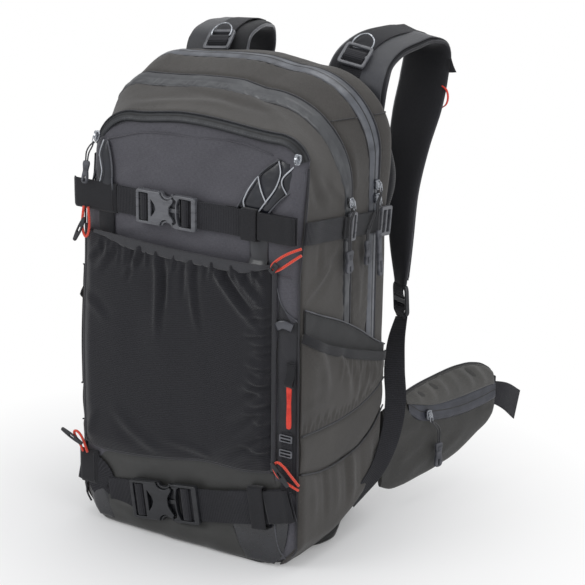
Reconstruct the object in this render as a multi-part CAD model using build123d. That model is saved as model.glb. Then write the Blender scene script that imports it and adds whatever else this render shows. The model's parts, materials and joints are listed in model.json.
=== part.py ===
from build123d import *
import math
import os

# Ski backpack, about 25 litres, in millimetres.
# Origin: centre of the base, on the floor. +Z up, -Y the front with the two buckled straps,
# +Y the wearer's back, +X the right-hand side seen from the front.

os.makedirs("parts", exist_ok=True)

# ---------------------------------------------------------------- driving dimensions
HALF_WIDTH = 145.0          # bag, side face to middle
TOP_Z = 528.0               # highest line of the bag, over the main zip
FRONT_Y = -90.0             # flat front face
BACK_Y = 90.0               # wearer's side of the bag
POCKET_Y = FRONT_Y + 15.0   # bend between the leaning front and the lid
FRONT_ZIP_Y = 8.0           # zip of the front compartment
MAIN_ZIP_Y = BACK_Y - 32.0  # zip of the main compartment
FACE_TOP_Z = TOP_Z - 118.0  # top of the flat front face
LID_FRONT_DROP = 44.0       # lid edge at POCKET_Y, below TOP_Z
LID_MIDDLE_DROP = 18.0      # lid at FRONT_ZIP_Y, below TOP_Z
BACK_DROP = 8.0             # lid at BACK_Y, below TOP_Z

FIT = 0.3                   # running gap between soft pieces
SEAT = 0.2                  # gap of a piece that is sewn down on another
WALL = 2.5                  # padded fabric wall of the compartments
PANEL = 1.5                 # coated panels and trims
WEB = 1.4                   # webbing thickness
TAPE = 1.2                  # zip tape thickness
TAPE_WIDTH = 12.0

UPPER_Z = FACE_TOP_Z - 28.0 # middle of the upper front strap
UPPER_WEB = 30.0            # its webbing width
LOWER_Z = 47.0              # middle of the lower front strap, at its buckle
LOWER_WEB = 38.0            # its webbing width
LOWER_TILT = 8.0            # it rises to the right, degrees
LOWER_END_Z = LOWER_Z + 14.0  # its left end, at the seam
STRAP_END_X = HALF_WIDTH - 2.0  # where the front straps stop, left and right
BUCKLE_THICK = 9.0
END_TAB = 40.0              # folded tab over the left end of a front strap

POCKET_HALF = 113.0         # stretch pocket, side to middle
POCKET_LOW_Z = 92.0
POCKET_HEM_Z = UPPER_Z - 37.0
HEM_WIDTH = 12.0
POCKET_GAP = 6.0            # room behind the stretch fabric

SIDE_WEB = 24.0             # compression strap
SIDE_FRONT_Y = FRONT_Y + 10.0
SIDE_FRONT_Z = UPPER_Z - 4.0
SIDE_BACK_Z = SIDE_FRONT_Z - 23.0
SIDE_POCKET_DEPTH = 9.0

SHOULDER_WIDTH = 70.0
SHOULDER_THICK = 12.0
LOWER_STRAP_WIDTH = 24.0
LIFTER_WIDTH = 25.0
ADJUSTER_GAP = 0.8          # between an adjuster and the bands it joins

WING_ROOT = (HALF_WIDTH + 5.0, BACK_Y + 14.0)  # outer face of the right hip wing, at its root
WING_TURN = 16.5            # wing's direction, degrees outward from +Y
WING_HINGE = (HALF_WIDTH - 3.5, BACK_Y + 14.0)  # upright axis of the sewn hinge
WING_LENGTH = 172.0
WING_THICK = 28.0
WING_TIP_THICK = 12.0
BELT_WEB = 38.0


# ---------------------------------------------------------------- small helpers
def box(x0, x1, y0, y1, z0, z1):
    """A box from its lowest and highest corner."""
    size = (x1 - x0, y1 - y0, z1 - z0)
    middle = ((x0 + x1) / 2, (y0 + y1) / 2, (z0 + z1) / 2)
    return Pos(*middle) * Box(*size)


def mirrored(shape):
    """The same piece on the other side of the pack."""
    return mirror(shape, about=Plane.YZ)


def both(shape):
    """A piece and its mirror image, as one node."""
    return Compound([*solids_of(shape), *solids_of(mirrored(shape))])


def solids_of(shape):
    return list(shape.solids())


def webbing(points, z0, z1, thick=WEB, bend=2.2):
    """A flat band that follows points in the XY plane, standing on edge from z0 to z1."""
    path = FilletPolyline(*[(x, y, 0) for x, y in points], radius=bend)
    outline = Wire(path.edges()).offset_2d(thick / 2, kind=Kind.ARC, side=Side.BOTH, closed=True)
    return Pos(0, 0, z0) * extrude(Face(outline), z1 - z0)


def flat_band(points, width, thick, plane):
    """A straight-edged band with a crowned middle line through three points of a plane."""
    start, middle, end = points
    centre = ThreePointArc(start, middle, end)
    outline = Wire(centre.edges()).offset_2d(width / 2, kind=Kind.ARC, side=Side.BOTH, closed=True)
    return plane * extrude(Face(outline), thick)


def turned(vector, axis, degrees):
    """A vector turned about an axis."""
    return Vector(*vector).rotate(Axis((0, 0, 0), tuple(axis)), degrees)


def station_plane(stations, i, lift=0.0):
    """Section plane of a band at one station: X across it, Y out of its face, Z along it."""
    points = [Vector(*s[:3]) for s in stations]
    ahead = points[min(i + 1, len(points) - 1)]
    behind = points[max(i - 1, 0)]
    along = (ahead - behind).normalized()
    across = (Vector(1, 0, 0) - along * along.X).normalized()
    across = turned(across, along, stations[i][4])
    out = across.cross(along)
    return Plane(origin=points[i] + out * lift, x_dir=across, z_dir=along)


def ribbon(stations, thick):
    """A band lofted through (x, y, z, width, twist) stations."""
    planes = [station_plane(stations, i) for i in range(len(stations))]
    sections = [(plane * Rectangle(s[3], thick)).face() for plane, s in zip(planes, stations)]
    return loft(sections, ruled=True)


# ---------------------------------------------------------------- bag
# Each station is (y, top, corner radius, crown, bottom corner inset, bottom corner rise).
STATIONS = [
    (FRONT_Y, FACE_TOP_Z, 14.0, 3.0, 24.0, 24.0),
    (POCKET_Y, TOP_Z - LID_FRONT_DROP, 36.0, 5.0, 20.0, 20.0),
    (FRONT_ZIP_Y, TOP_Z - LID_MIDDLE_DROP, 52.0, 6.0, 7.0, 10.0),
    (MAIN_ZIP_Y, TOP_Z, 66.0, 8.0, 31.0, 50.0),
    (BACK_Y, TOP_Z - BACK_DROP, 70.0, 8.0, 45.0, 110.0),
]
BASE_Z = PANEL + SEAT       # underside of the bag, on top of the bottom panel


def station_at(y):
    """The bag's section sizes at any depth, between its stations."""
    for near, far in zip(STATIONS, STATIONS[1:]):
        if near[0] <= y <= far[0]:
            share = (y - near[0]) / (far[0] - near[0])
            return [a + (b - a) * share for a, b in zip(near, far)]
    return list(STATIONS[0] if y < STATIONS[0][0] else STATIONS[-1])


def outline(y, grow):
    """The bag's closed outline at one depth: flat base, cut corners, arched top."""
    _, top, radius, crown, inset, rise = station_at(y)
    side = HALF_WIDTH + grow
    top = top + grow
    radius = radius + grow
    base = BASE_Z - grow
    shoulder = top - radius
    lean = math.sqrt(0.5)
    corner = (side - radius + radius * lean, y, shoulder + (radius - crown) * lean)
    left = [
        Line((-side, y, shoulder), (-side, y, base + rise)),
        Line((-side, y, base + rise), (inset - side, y, base)),
    ]
    right = [
        Line((side - inset, y, base), (side, y, base + rise)),
        Line((side, y, base + rise), (side, y, shoulder)),
        ThreePointArc((side, y, shoulder), corner, (side - radius, y, top - crown)),
    ]
    lid = ThreePointArc((side - radius, y, top - crown), (0, y, top), (radius - side, y, top - crown))
    far_corner = (-corner[0], y, corner[2])
    last = ThreePointArc((radius - side, y, top - crown), far_corner, (-side, y, shoulder))
    base_line = Line((inset - side, y, base), (side - inset, y, base))
    return Wire([e for part in [base_line, *right, lid, last, *left] for e in part.edges()])


def bag(y0, y1, grow=0.0):
    """The bag's outer form between two depths, as a solid."""
    depths = [y0] + [s[0] for s in STATIONS if y0 < s[0] < y1] + [y1]
    return Solid.make_loft([outline(y, grow) for y in depths], ruled=True)


GOGGLE_BACK_Y = FRONT_Y + 42.0
GOGGLE_LOW_Z = FACE_TOP_Z + 18.0


def goggle_region(grow):
    """The space of the goggle pocket, at the top of the front."""
    reach = HALF_WIDTH + 20
    return box(-reach, reach, FRONT_Y - 20, GOGGLE_BACK_Y + grow, GOGGLE_LOW_Z - grow, TOP_Z + 20)


def front_compartment():
    shell = bag(FRONT_Y, FRONT_ZIP_Y) - goggle_region(SEAT)
    hollow = bag(FRONT_Y + WALL, FRONT_ZIP_Y - WALL, -WALL) - goggle_region(SEAT + WALL)
    return shell - hollow


def goggle_pocket():
    shell = bag(FRONT_Y, GOGGLE_BACK_Y) & goggle_region(0)
    hollow = bag(FRONT_Y + WALL, GOGGLE_BACK_Y - WALL, -WALL) & goggle_region(-WALL)
    return shell - hollow


def main_compartment():
    shell = bag(FRONT_ZIP_Y + SEAT, BACK_Y)
    return shell - bag(FRONT_ZIP_Y + SEAT + WALL, BACK_Y - WALL, -WALL)


SHEET_HALF = HALF_WIDTH - 37.0
SHEET_LOW_Z = 66.0
SHEET_TOP_Z = TOP_Z - 90.0
SHEET_THICK = 1.5
STAY_THICK = 3.0
STAY_X = 58.0


def frame_sheet():
    back = BACK_Y - WALL - FIT - STAY_THICK - FIT
    return box(-SHEET_HALF, SHEET_HALF, back - SHEET_THICK, back, SHEET_LOW_Z, SHEET_TOP_Z)


def frame_stays():
    back = BACK_Y - WALL - FIT
    stay = box(STAY_X - 6, STAY_X + 6, back - STAY_THICK, back, SHEET_LOW_Z + 8, SHEET_TOP_Z - 8)
    return both(fillet(stay.edges().filter_by(Axis.Z), 1.0))


def bottom_panel():
    """Coated base with an upstand on the front."""
    corners = [
        (HALF_WIDTH - 27, FRONT_Y - SEAT - PANEL),
        (HALF_WIDTH - 8, FRONT_ZIP_Y),
        (HALF_WIDTH - 32, MAIN_ZIP_Y),
        (HALF_WIDTH - 46, BACK_Y - 2),
    ]
    ring = corners + [(-x, y) for x, y in reversed(corners)]
    base = extrude(Face(Polyline(*[(x, y, 0) for x, y in ring], close=True).wires()[0]), PANEL)
    wide = HALF_WIDTH - 27
    front = FRONT_Y - SEAT
    return base + box(-wide, wide, front - PANEL, front, 0, POCKET_LOW_Z - 4)


def corner_patches():
    """Glossy reinforcing patches at the two lower front corners."""
    front = FRONT_Y - SEAT
    low, high = (HALF_WIDTH - 26, 26), (HALF_WIDTH - 1, POCKET_LOW_Z - 8)
    return both(box(low[0], high[0], front - PANEL, front, low[1], high[1]))


BACK_PLATE = 2.0
PAD_THICK = 11.0
PANEL_HALF = HALF_WIDTH - 27.0
BACK_PAD_LOW_Z = 165.0
BACK_PAD_TOP_Z = TOP_Z - 40.0
LUMBAR_HALF = HALF_WIDTH - 12.0
LUMBAR_THICK = PAD_THICK + 6.0
LUMBAR_LOW_Z = 44.0
LUMBAR_TOP_Z = 152.0


def back_panel():
    face = BACK_Y + SEAT
    panel = box(-PANEL_HALF, PANEL_HALF, face, face + BACK_PLATE, LUMBAR_LOW_Z - 4, BACK_PAD_TOP_Z + 8)
    return fillet(panel.edges().filter_by(Axis.Y), 24)


def back_pads():
    face = BACK_Y + SEAT + BACK_PLATE + SEAT
    pad = box(18, PANEL_HALF - 6, face, face + PAD_THICK, BACK_PAD_LOW_Z, BACK_PAD_TOP_Z)
    pad = fillet(pad.edges().filter_by(Axis.Y), 26)
    return both(pad)


def lumbar_pad():
    face = BACK_Y + SEAT + BACK_PLATE + SEAT
    pad = box(-LUMBAR_HALF, LUMBAR_HALF, face, face + LUMBAR_THICK, LUMBAR_LOW_Z, LUMBAR_TOP_Z)
    return fillet(pad.edges().filter_by(Axis.Y), 10)


# ---------------------------------------------------------------- zips
TAPE_OUT = SEAT + TAPE                      # how far a zip tape stands off the bag
LID_ZIP_LOW_Z = UPPER_Z - 64.0              # lower ends of the two long zips
LEAN = math.degrees(math.atan2(POCKET_Y - FRONT_Y, TOP_Z - LID_FRONT_DROP - FACE_TOP_Z))
LEAN_PLANE = Plane(
    origin=(0, FRONT_Y, FACE_TOP_Z),
    x_dir=(1, 0, 0),
    z_dir=(0, -math.cos(math.radians(LEAN)), math.sin(math.radians(LEAN))),
)


def lid_zip(y):
    """The tape of a zip that runs up one side, over the top and down the other."""
    half = TAPE_WIDTH / 2
    band = bag(y - half, y + half, TAPE_OUT) - bag(y - half - 1, y + half + 1, SEAT)
    reach = HALF_WIDTH + 20
    return band & box(-reach, reach, y - half - 2, y + half + 2, LID_ZIP_LOW_Z, TOP_Z + 20)


# the goggle pocket's zip as (x, height up the leaning front): two ends and the middle
GOGGLE_ZIP = [(21 - HALF_WIDTH, 40), (0, 66), (HALF_WIDTH - 11, 52)]


def goggle_zip():
    band = flat_band(GOGGLE_ZIP, TAPE_WIDTH - 2, TAPE, Plane.XY)
    return LEAN_PLANE * Pos(0, 0, SEAT) * band


SLIDER_TALL = 11.0
SLIDER_WIDE = 8.0
SLIDER_THICK = 3.8
PIVOT_OUT = 2.8             # pivot of a pull, off the slider's face


def slider_body():
    """A slider on a tape in the XY plane, seen from +Z, its pull hanging towards -Y."""
    body = Pos(0, 0, SLIDER_THICK / 2) * Box(SLIDER_WIDE, SLIDER_TALL, SLIDER_THICK)
    body = chamfer(body.edges().filter_by(Axis.Z), 2.0)
    pivot = SLIDER_THICK + PIVOT_OUT
    lug = box(1.6, 2.8, -2.4, 1.2, SLIDER_THICK - 0.2, pivot + 1.0)
    pin = Pos(0, -0.6, pivot) * Rot(0, 90, 0) * Cylinder(0.6, 5.6)
    return body + lug + mirrored(lug) + pin


def plate(corners, z0, z1):
    """A flat plate in the XY plane from its corners."""
    face = Face(Polyline(*[(x, y, z0) for x, y in corners], close=True).wires()[0])
    return extrude(face, z1 - z0, dir=(0, 0, 1))


def pull_body(cord, grip, aside=0.0, wide=8.0, thick=4.0):
    """A pull that hangs from a slider: ring, cord and moulded grip, towards -Y from the pivot."""
    ring = Rot(0, 90, 0) * (Cylinder(1.9, 2.6) - Cylinder(0.9, 4))
    neck = box(-1.3, 1.3, -5.0, -1.5, -0.8, 0.8)
    low = -cord - 4.0
    knee = -5.0 - 1.4 * abs(aside)
    left = [(-2.2, -4.8), (aside - 2.2, knee), (aside - 2.2, low)]
    right = [(aside + 2.2, low), (aside + 2.2, knee), (2.2, -4.8)]
    strands = plate([p for i, p in enumerate(left + right) if aside or i not in (1, 4)], -0.8, 0.8)
    top, middle, end = low + 0.4, low - grip * 0.5, low - grip
    halves = [(wide * 0.42, top), (wide * 0.36, middle), (wide * 0.5, end)]
    corners = [(aside + x, y) for x, y in halves] + [(aside - x, y) for x, y in reversed(halves)]
    handle = plate(corners, -thick / 2, thick / 2)
    return Pos(0, -0.6, SLIDER_THICK + PIVOT_OUT) * (ring + neck + strands + handle)


def side_plane(y, z):
    """Tape surface on the right side of the bag, with its own -Y pointing down."""
    return Plane(origin=(HALF_WIDTH + TAPE_OUT + FIT, y, z), x_dir=(0, 1, 0), z_dir=(1, 0, 0))


def lean_plane(x, up):
    """Tape surface of the goggle zip at one place."""
    return LEAN_PLANE * Pos(x, up, SEAT + TAPE + FIT)


# ---------------------------------------------------------------- front straps
def female_buckle(half, k):
    """Female half: mouth at x = 0 facing +X, outward is -Y, back face at y = 0."""
    rail = half + 3.4
    shell = box(-48 * k, 0, -BUCKLE_THICK, 0, -rail, rail)
    shell = fillet(shell.edges().filter_by(Axis.Y), 3.0)
    slot = box(-44.2 * k, -38.4 * k, -20, 20, -half - 0.6, half + 0.6)
    cavity = box(-33 * k, 1, -BUCKLE_THICK + 2.2, -2.2, -half - 1.0, half + 1.0)
    window = box(-25 * k, -9 * k, -20, 20, half * 0.64, rail + 5)
    throat = box(-8 * k, 1, -20, -2.2, -half * 0.45, half * 0.45)
    under_bar = box(-60 * k, -43 * k, -3.2, 1, -half - 0.6, half + 0.6)
    over_bar = box(-60 * k, -43 * k, -20, -6.9, -half - 0.6, half + 0.6)
    shell = shell - slot - cavity - window - throat
    shell = shell - (Rot(180, 0, 0) * window)
    return shell - under_bar - over_bar


def male_buckle(half, k):
    """Male half, pushed home: frame with two windows, two prongs and a guide tongue."""
    rail = half + 3.4
    frame = box(0.4, 29 * k, -BUCKLE_THICK, 0, -rail, rail)
    frame = fillet(frame.edges().filter_by(Axis.Y), 3.0)
    inner = box(4.6 * k, 25 * k, -20, 20, -half - 0.6, half + 0.6)
    under = box(-1, 26 * k, -3.6, 1, -half - 0.6, half + 0.6)
    under_end = box(24 * k, 30 * k, -5.2, 1, -half - 0.6, half + 0.6)
    bar = box(12.2 * k, 12.2 * k + 3.6, -6.9, -4.2, -half - 1, half + 1)
    prong = box(-26 * k, 3, -BUCKLE_THICK + 2.8, -2.8, half * 0.55, half * 0.55 + 3.6)
    head = box(-25 * k, -14 * k, -BUCKLE_THICK + 2.8, -2.8, half * 0.55, half + 0.6)
    tongue = box(-18 * k, 3, -BUCKLE_THICK + 2.8, -2.8, -2.4, 2.4)
    arms = prong + head + (Rot(180, 0, 0) * Pos(0, BUCKLE_THICK, 0) * (prong + head))
    return (frame - inner - under - under_end) + bar + tongue + arms


BUCKLE_OUT = WEB + 2 * FIT + SEAT           # back of a buckle, off the face under the strap
FRONT_STRAPS = {
    "upper": {
        "z": UPPER_Z,
        "end_z": UPPER_Z,
        "tilt": 0.0,
        "web": UPPER_WEB,
        "face": FRONT_Y,
        "mouth": -8.0,
        "k": 1.0,
        "keeper": 86.0,
    },
    "lower": {
        "z": LOWER_Z,
        "end_z": LOWER_END_Z,
        "tilt": LOWER_TILT,
        "web": LOWER_WEB,
        "face": FRONT_Y - SEAT - PANEL,
        "mouth": -11.0,
        "k": 1.18,
        "keeper": 100.0,
    },
}


def tilted(s, shape):
    """A piece of a front strap, turned with the strap about its buckle's mouth."""
    return Pos(s["mouth"], 0, s["z"]) * Rot(0, -s["tilt"], 0) * Pos(-s["mouth"], 0, -s["z"]) * shape


def placed_buckle(s, shape):
    return tilted(s, Pos(s["mouth"], s["face"] - BUCKLE_OUT, s["z"]) * shape)


def front_plate(corners, back, thick):
    """A plate on the front from an outline in (x, z), its back face at y = back."""
    face = Face(Polyline(*[(x, back, z) for x, z in corners], close=True).wires()[0])
    return extrude(face, thick, dir=(0, -1, 0))


def strap_left(s):
    """Fixed webbing from the left seam, round the bar of the female half and back."""
    k, m, face = s["k"], s["mouth"], s["face"]
    half = s["web"] / 2
    low = face - SEAT - WEB / 2
    start = m - 84 * k
    bar_back = face - BUCKLE_OUT - 1.9
    bar_front = face - BUCKLE_OUT - 8.2
    points = [
        (start, low),
        (m - 56 * k, low),
        (m - 49 * k, bar_back),
        (m - 41 * k, bar_back),
        (m - 41 * k, bar_front),
        (m - 48 * k, bar_front),
        (m - 60 * k, low - WEB - FIT),
        (m - 78 * k, low - WEB - FIT),
    ]
    loop = tilted(s, webbing(points, s["z"] - half, s["z"] + half))
    join = start + 8
    join_z = s["z"] + (join - m) * math.tan(math.radians(s["tilt"]))
    corners = [(-STRAP_END_X, s["end_z"] - half), (join, join_z - half)]
    corners += [(join, join_z + half), (-STRAP_END_X, s["end_z"] + half)]
    return loop + front_plate(corners, face - SEAT, WEB)


def strap_right(s):
    """Fixed webbing under the moving one, sewn into the right seam."""
    low = s["face"] - SEAT
    start = s["mouth"] + 62 * s["k"]
    band = box(start, STRAP_END_X + 1.5, low - WEB, low, s["z"] - s["web"] / 2, s["z"] + s["web"] / 2)
    return tilted(s, band)


def strap_loop(s):
    """Moving webbing: under the male half, round its bar and back as the loose tail."""
    k, m, face = s["k"], s["mouth"], s["face"]
    back = face - BUCKLE_OUT - 0.5 - WEB / 2
    tail = back - WEB - FIT
    bar = m + 12.2 * k
    front = face - BUCKLE_OUT - 8.1
    points = [
        (m + 74 * k, back),
        (bar - 3.2, back),
        (bar - 3.2, front),
        (bar + 5.5, front),
        (bar + 9.0, tail),
        (STRAP_END_X, tail),
    ]
    return tilted(s, webbing(points, s["z"] - s["web"] / 2, s["z"] + s["web"] / 2, bend=1.6))


def strap_keepers():
    """Elastic bridges that hold both loose tails, and the folded tabs over the left ends."""
    pieces = []
    for s in FRONT_STRAPS.values():
        top = BUCKLE_OUT + 0.5 + 2 * WEB + 2 * FIT
        half = s["web"] / 2 + 2 * FIT
        face, x, z = s["face"], s["keeper"], s["z"]
        outer = box(x - 9, x + 9, face - top - PANEL, face - SEAT, z - half - PANEL, z + half + PANEL)
        inner = box(x - 10, x + 10, face - top, face + 1, z - half, z + half)
        pieces.append(tilted(s, outer - inner))
        low = face - SEAT - WEB - FIT
        start = -STRAP_END_X - 4
        wide = s["web"] / 2 + 1.5
        corners = [(start, s["end_z"] - wide), (start + END_TAB, s["end_z"] - wide)]
        corners += [(start + END_TAB, s["end_z"] + wide), (start, s["end_z"] + wide)]
        pieces.append(front_plate(corners, low, WEB))
    return Compound([x for piece in pieces for x in solids_of(piece)])


# ---------------------------------------------------------------- stretch pocket
def stretch_pocket():
    """Tray of stretch fabric on the front, open at the top."""
    back = FRONT_Y - SEAT - PANEL - SEAT
    skin = back - POCKET_GAP - PANEL
    outer = box(-POCKET_HALF, POCKET_HALF, skin, back, POCKET_LOW_Z, POCKET_HEM_Z - HEM_WIDTH)
    inner = box(
        -POCKET_HALF + 2,
        POCKET_HALF - 2,
        skin + PANEL,
        back + 1,
        POCKET_LOW_Z + 2,
        POCKET_HEM_Z,
    )
    return outer - inner


def pocket_hem():
    """Elastic hem along the pocket's mouth, its ends sewn to the bag."""
    back = FRONT_Y - SEAT - PANEL - SEAT
    skin = back - POCKET_GAP - PANEL
    outer = box(-POCKET_HALF, POCKET_HALF, skin - 0.6, back, POCKET_HEM_Z - HEM_WIDTH, POCKET_HEM_Z)
    inner = box(-POCKET_HALF + 2, POCKET_HALF - 2, skin + PANEL, back + 1, 0, POCKET_HEM_Z + 1)
    return outer - inner


def hem_tabs():
    """Short webbing tabs between the upper strap and the stretch pocket's corners."""
    front = FRONT_Y - SEAT
    top = UPPER_Z - UPPER_WEB / 2 - 2.4
    return both(box(POCKET_HALF - 20, POCKET_HALF, front - WEB, front, POCKET_HEM_Z + FIT, top))


# ---------------------------------------------------------------- elastic cords
CORD = 3.0                  # elastic cord diameter
CORD_ROUTES = {
    "cord_upper_left": [
        (-131, -95, 368),
        (-132.5, -97, 353),
        (-131, -98, 340),
        (-127, -98, 333),
        (-122.5, -98, 340),
        (-122, -97, 353),
        (-125, -95, 368),
    ],
    "cord_upper_right": [
        (146.9, -91.2, 365),
        (137, -96, 361),
        (125, -100.5, 353),
        (117, -102, 345),
        (118, -102, 338),
        (126, -101, 341),
        (137, -96.5, 350),
        (146.9, -91.2, 358),
    ],
    "cord_lower_left": [
        (-139, -96.7, 78),
        (-143, -97.5, 88),
        (-149, -99, 96),
        (-149.5, -99.5, 102),
        (-143.5, -99.5, 102.5),
        (-137, -98.5, 94),
        (-133, -96.7, 78),
    ],
    "cord_lower_right": [
        (146.9, -91.5, 102),
        (141, -97, 113),
        (134, -100.5, 124),
        (126, -101.5, 129),
        (120.5, -101.5, 123),
        (123, -101, 114),
        (132, -98.5, 106),
        (146.9, -91.5, 96.5),
    ],
}
# the toggle bars on them: (x, y, z, lean in degrees)
HOOKS = [(-133, -101.4, 343, 28), (-150, -102.8, 96, -66), (131, -104.9, 116, -42)]


def cord_tube(points, diameter):
    """Tube along straight runs and tangent arcs, each arc as large as its two runs allow."""
    vectors = [Vector(*p) for p in points]
    radii = []
    for before, at, after in zip(vectors, vectors[1:], vectors[2:]):
        run_in, run_out = at - before, after - at
        turn = math.radians(run_in.get_angle(run_out))
        radii.append(0.45 * min(run_in.length, run_out.length) / math.tan(turn / 2))
    path = FilletPolyline(*vectors, radius=radii)
    section = Plane(origin=vectors[0], z_dir=vectors[1] - vectors[0]) * Circle(diameter / 2)
    tube = sweep(section.face(), path=path)
    length = Wire(path.edges()).length
    exact = math.pi * diameter**2 / 4 * length
    print("cord length", round(length, 1), "volume share", round(tube.volume / exact, 4))
    print("  radii", [round(r, 1) for r in radii])
    return tube


def cord_hooks():
    """Moulded toggle bars in front of three of the elastic loops."""
    pieces = []
    for x, y, z, lean in HOOKS:
        bar = Box(6.0, 3.2, 32.0)
        bar = fillet(bar.edges().filter_by(Axis.Y), 2.8)
        pieces.append(Pos(x, y, z) * Rot(0, lean, 0) * bar)
    return Compound([solid for piece in pieces for solid in solids_of(piece)])


# ---------------------------------------------------------------- rubber pull tab
TAB_X = HALF_WIDTH - 9.0
TAB_TOP_Z = 217.0
TAB_LENGTH = 50.0


def tab_anchor():
    """Webbing tab with a pin that carries the rubber pull."""
    front = FRONT_Y - SEAT
    base = box(TAB_X - 5, TAB_X + 5, front - WEB, front, TAB_TOP_Z - 8, TAB_TOP_Z + 22)
    lug = box(4.2, 5.6, -7.2, -WEB, -3, 3)
    lugs = lug + mirrored(lug)
    pin = Pos(0, -5.2, 0) * Rot(0, 90, 0) * Cylinder(0.8, 11)
    return base + Pos(TAB_X, front, TAB_TOP_Z) * (lugs + pin)


def pull_tab():
    """Rubber pull that hangs from the pin."""
    front = FRONT_Y - SEAT
    head = Rot(0, 90, 0) * (Cylinder(2.6, 7.4) - Cylinder(1.2, 9))
    blade = box(-3.7, 3.7, -1.6, 1.6, -TAB_LENGTH, -2.2)
    blade = fillet(blade.edges().filter_by(Axis.Y), 2.4)
    return Pos(TAB_X, front - 5.2, TAB_TOP_Z) * (head + blade)


# ---------------------------------------------------------------- sides
def side_outline(points, thick, start):
    """A plate on the right side from an outline in (y, z)."""
    face = Face(Polyline(*[(start, y, z) for y, z in points], close=True).wires()[0])
    return extrude(face, thick, dir=(1, 0, 0))


SIDE_POCKET_LOW_Z = 150.0
POCKET_FRONT = (FRONT_Y + 5, UPPER_Z - 110)           # front end of the side pocket's rim
POCKET_REAR = (BACK_Y - 4, SIDE_POCKET_LOW_Z + 50)    # rear end of its rim
SIDE_START = HALF_WIDTH + SEAT


def side_pocket():
    """Pocket on the right side: a shallow tray with a slanting rim, open at the top."""
    y0, z0 = POCKET_FRONT
    y1, z1 = POCKET_REAR
    low = SIDE_POCKET_LOW_Z
    outer = side_outline([(y0, low), (y1, low), (y1, z1), (y0, z0)], SIDE_POCKET_DEPTH, SIDE_START)
    room = [(y0 + 2, low + 2), (y1 - 2, low + 2), (y1 - 2, z1 + 60), (y0 + 2, z0 + 60)]
    return outer - side_outline(room, SIDE_POCKET_DEPTH - PANEL, SIDE_START - 0.01)


def side_strap():
    """Compression strap on the right side, over the zips, with its sewn foot at the front."""
    half = SIDE_WEB / 2
    start = HALF_WIDTH + TAPE_OUT + FIT
    ends = [(SIDE_FRONT_Y, SIDE_FRONT_Z), (BACK_Y - 3, SIDE_BACK_Z)]
    corners = [(y, z - half) for y, z in ends] + [(y, z + half) for y, z in reversed(ends)]
    band = side_outline(corners, WEB, start)
    foot = box(
        SIDE_START, start + 0.1,
        SIDE_FRONT_Y, SIDE_FRONT_Y + 12,
        SIDE_FRONT_Z - half, SIDE_FRONT_Z + half - 3,
    )
    return band + foot


def slide_frame(wide, tall, thick, bar=3.0):
    """A flat webbing slide in the XY plane: frame with two slots."""
    frame = Box(wide, tall, thick)
    frame = fillet(frame.edges().filter_by(Axis.Z), 2.5)
    slot = Box((wide - 3 * bar) / 2, tall - 2 * bar, thick + 2)
    shift = (wide - bar) / 4 + bar / 4
    return frame - Pos(shift, 0, 0) * slot - Pos(-shift, 0, 0) * slot


SIDE_TILT = math.degrees(math.atan2(SIDE_FRONT_Z - SIDE_BACK_Z, BACK_Y - 3 - SIDE_FRONT_Y))


def side_strap_place(y, lift):
    """A place on the outer face of the compression strap."""
    share = (y - SIDE_FRONT_Y) / (BACK_Y - 3 - SIDE_FRONT_Y)
    z = SIDE_FRONT_Z + (SIDE_BACK_Z - SIDE_FRONT_Z) * share
    x = HALF_WIDTH + TAPE_OUT + FIT + WEB + lift
    return Plane(origin=(x, y, z), x_dir=(0, 1, 0), z_dir=(1, 0, 0)) * Rot(0, 0, -SIDE_TILT)


def strap_slides():
    """Slides on both compression straps, over the front zip."""
    thick = 1.8
    frame = slide_frame(17, SIDE_WEB + 7, thick)
    return both(side_strap_place(FRONT_ZIP_Y - 4, SEAT + thick / 2) * frame)


def side_buckles():
    """Ladder-lock buckles at the rear ends of both compression straps."""
    thick = 5.0
    frame = slide_frame(22, SIDE_WEB + 9, thick, bar=4.0)
    return both(side_strap_place(BACK_Y - 9, SEAT + thick / 2) * frame)


# ---------------------------------------------------------------- shoulder straps
ROOT_X = 70.0               # middle of a strap, where it leaves the bag
STRAP_END_Z = 264.0         # lower end of the padded strap, clear of the hip wing
CREST = TOP_Z - 29.0        # where the strap turns down from its arch
HANG = CREST - STRAP_END_Z
# each station of the right-hand strap is (x, y, z, width, twist), from root to adjuster
SHOULDER = [
    (ROOT_X, BACK_Y + 9, TOP_Z - 22, SHOULDER_WIDTH, 0),
    (ROOT_X + 4, BACK_Y + 22, TOP_Z - 2, SHOULDER_WIDTH, 0),
    (ROOT_X + 13, BACK_Y + 60, TOP_Z + 10, SHOULDER_WIDTH, 0),
    (ROOT_X + 24, BACK_Y + 100, TOP_Z + 10, SHOULDER_WIDTH, 0),
    (ROOT_X + 34, BACK_Y + 126, TOP_Z - 4, SHOULDER_WIDTH, 0),
    (ROOT_X + 41, BACK_Y + 136, CREST, SHOULDER_WIDTH, 0),
    (ROOT_X + 50, BACK_Y + 106, CREST - 0.187 * HANG, SHOULDER_WIDTH - 7, 0),
    (ROOT_X + 54, BACK_Y + 82, CREST - 0.349 * HANG, SHOULDER_WIDTH - 18, 0),
    (ROOT_X + 58, BACK_Y + 63, CREST - 0.549 * HANG, SHOULDER_WIDTH - 30, 0),
    (ROOT_X + 61, BACK_Y + 56, CREST - 0.787 * HANG, SHOULDER_WIDTH - 38, 0),
    (ROOT_X + 64, BACK_Y + 53, STRAP_END_Z, SHOULDER_WIDTH - 42, 0),
]
ADJUSTER_TALL = 38.0
LOWER_X, LOWER_Y, LOWER_START_Z = ROOT_X + 67, BACK_Y + 52, STRAP_END_Z - ADJUSTER_TALL
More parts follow.
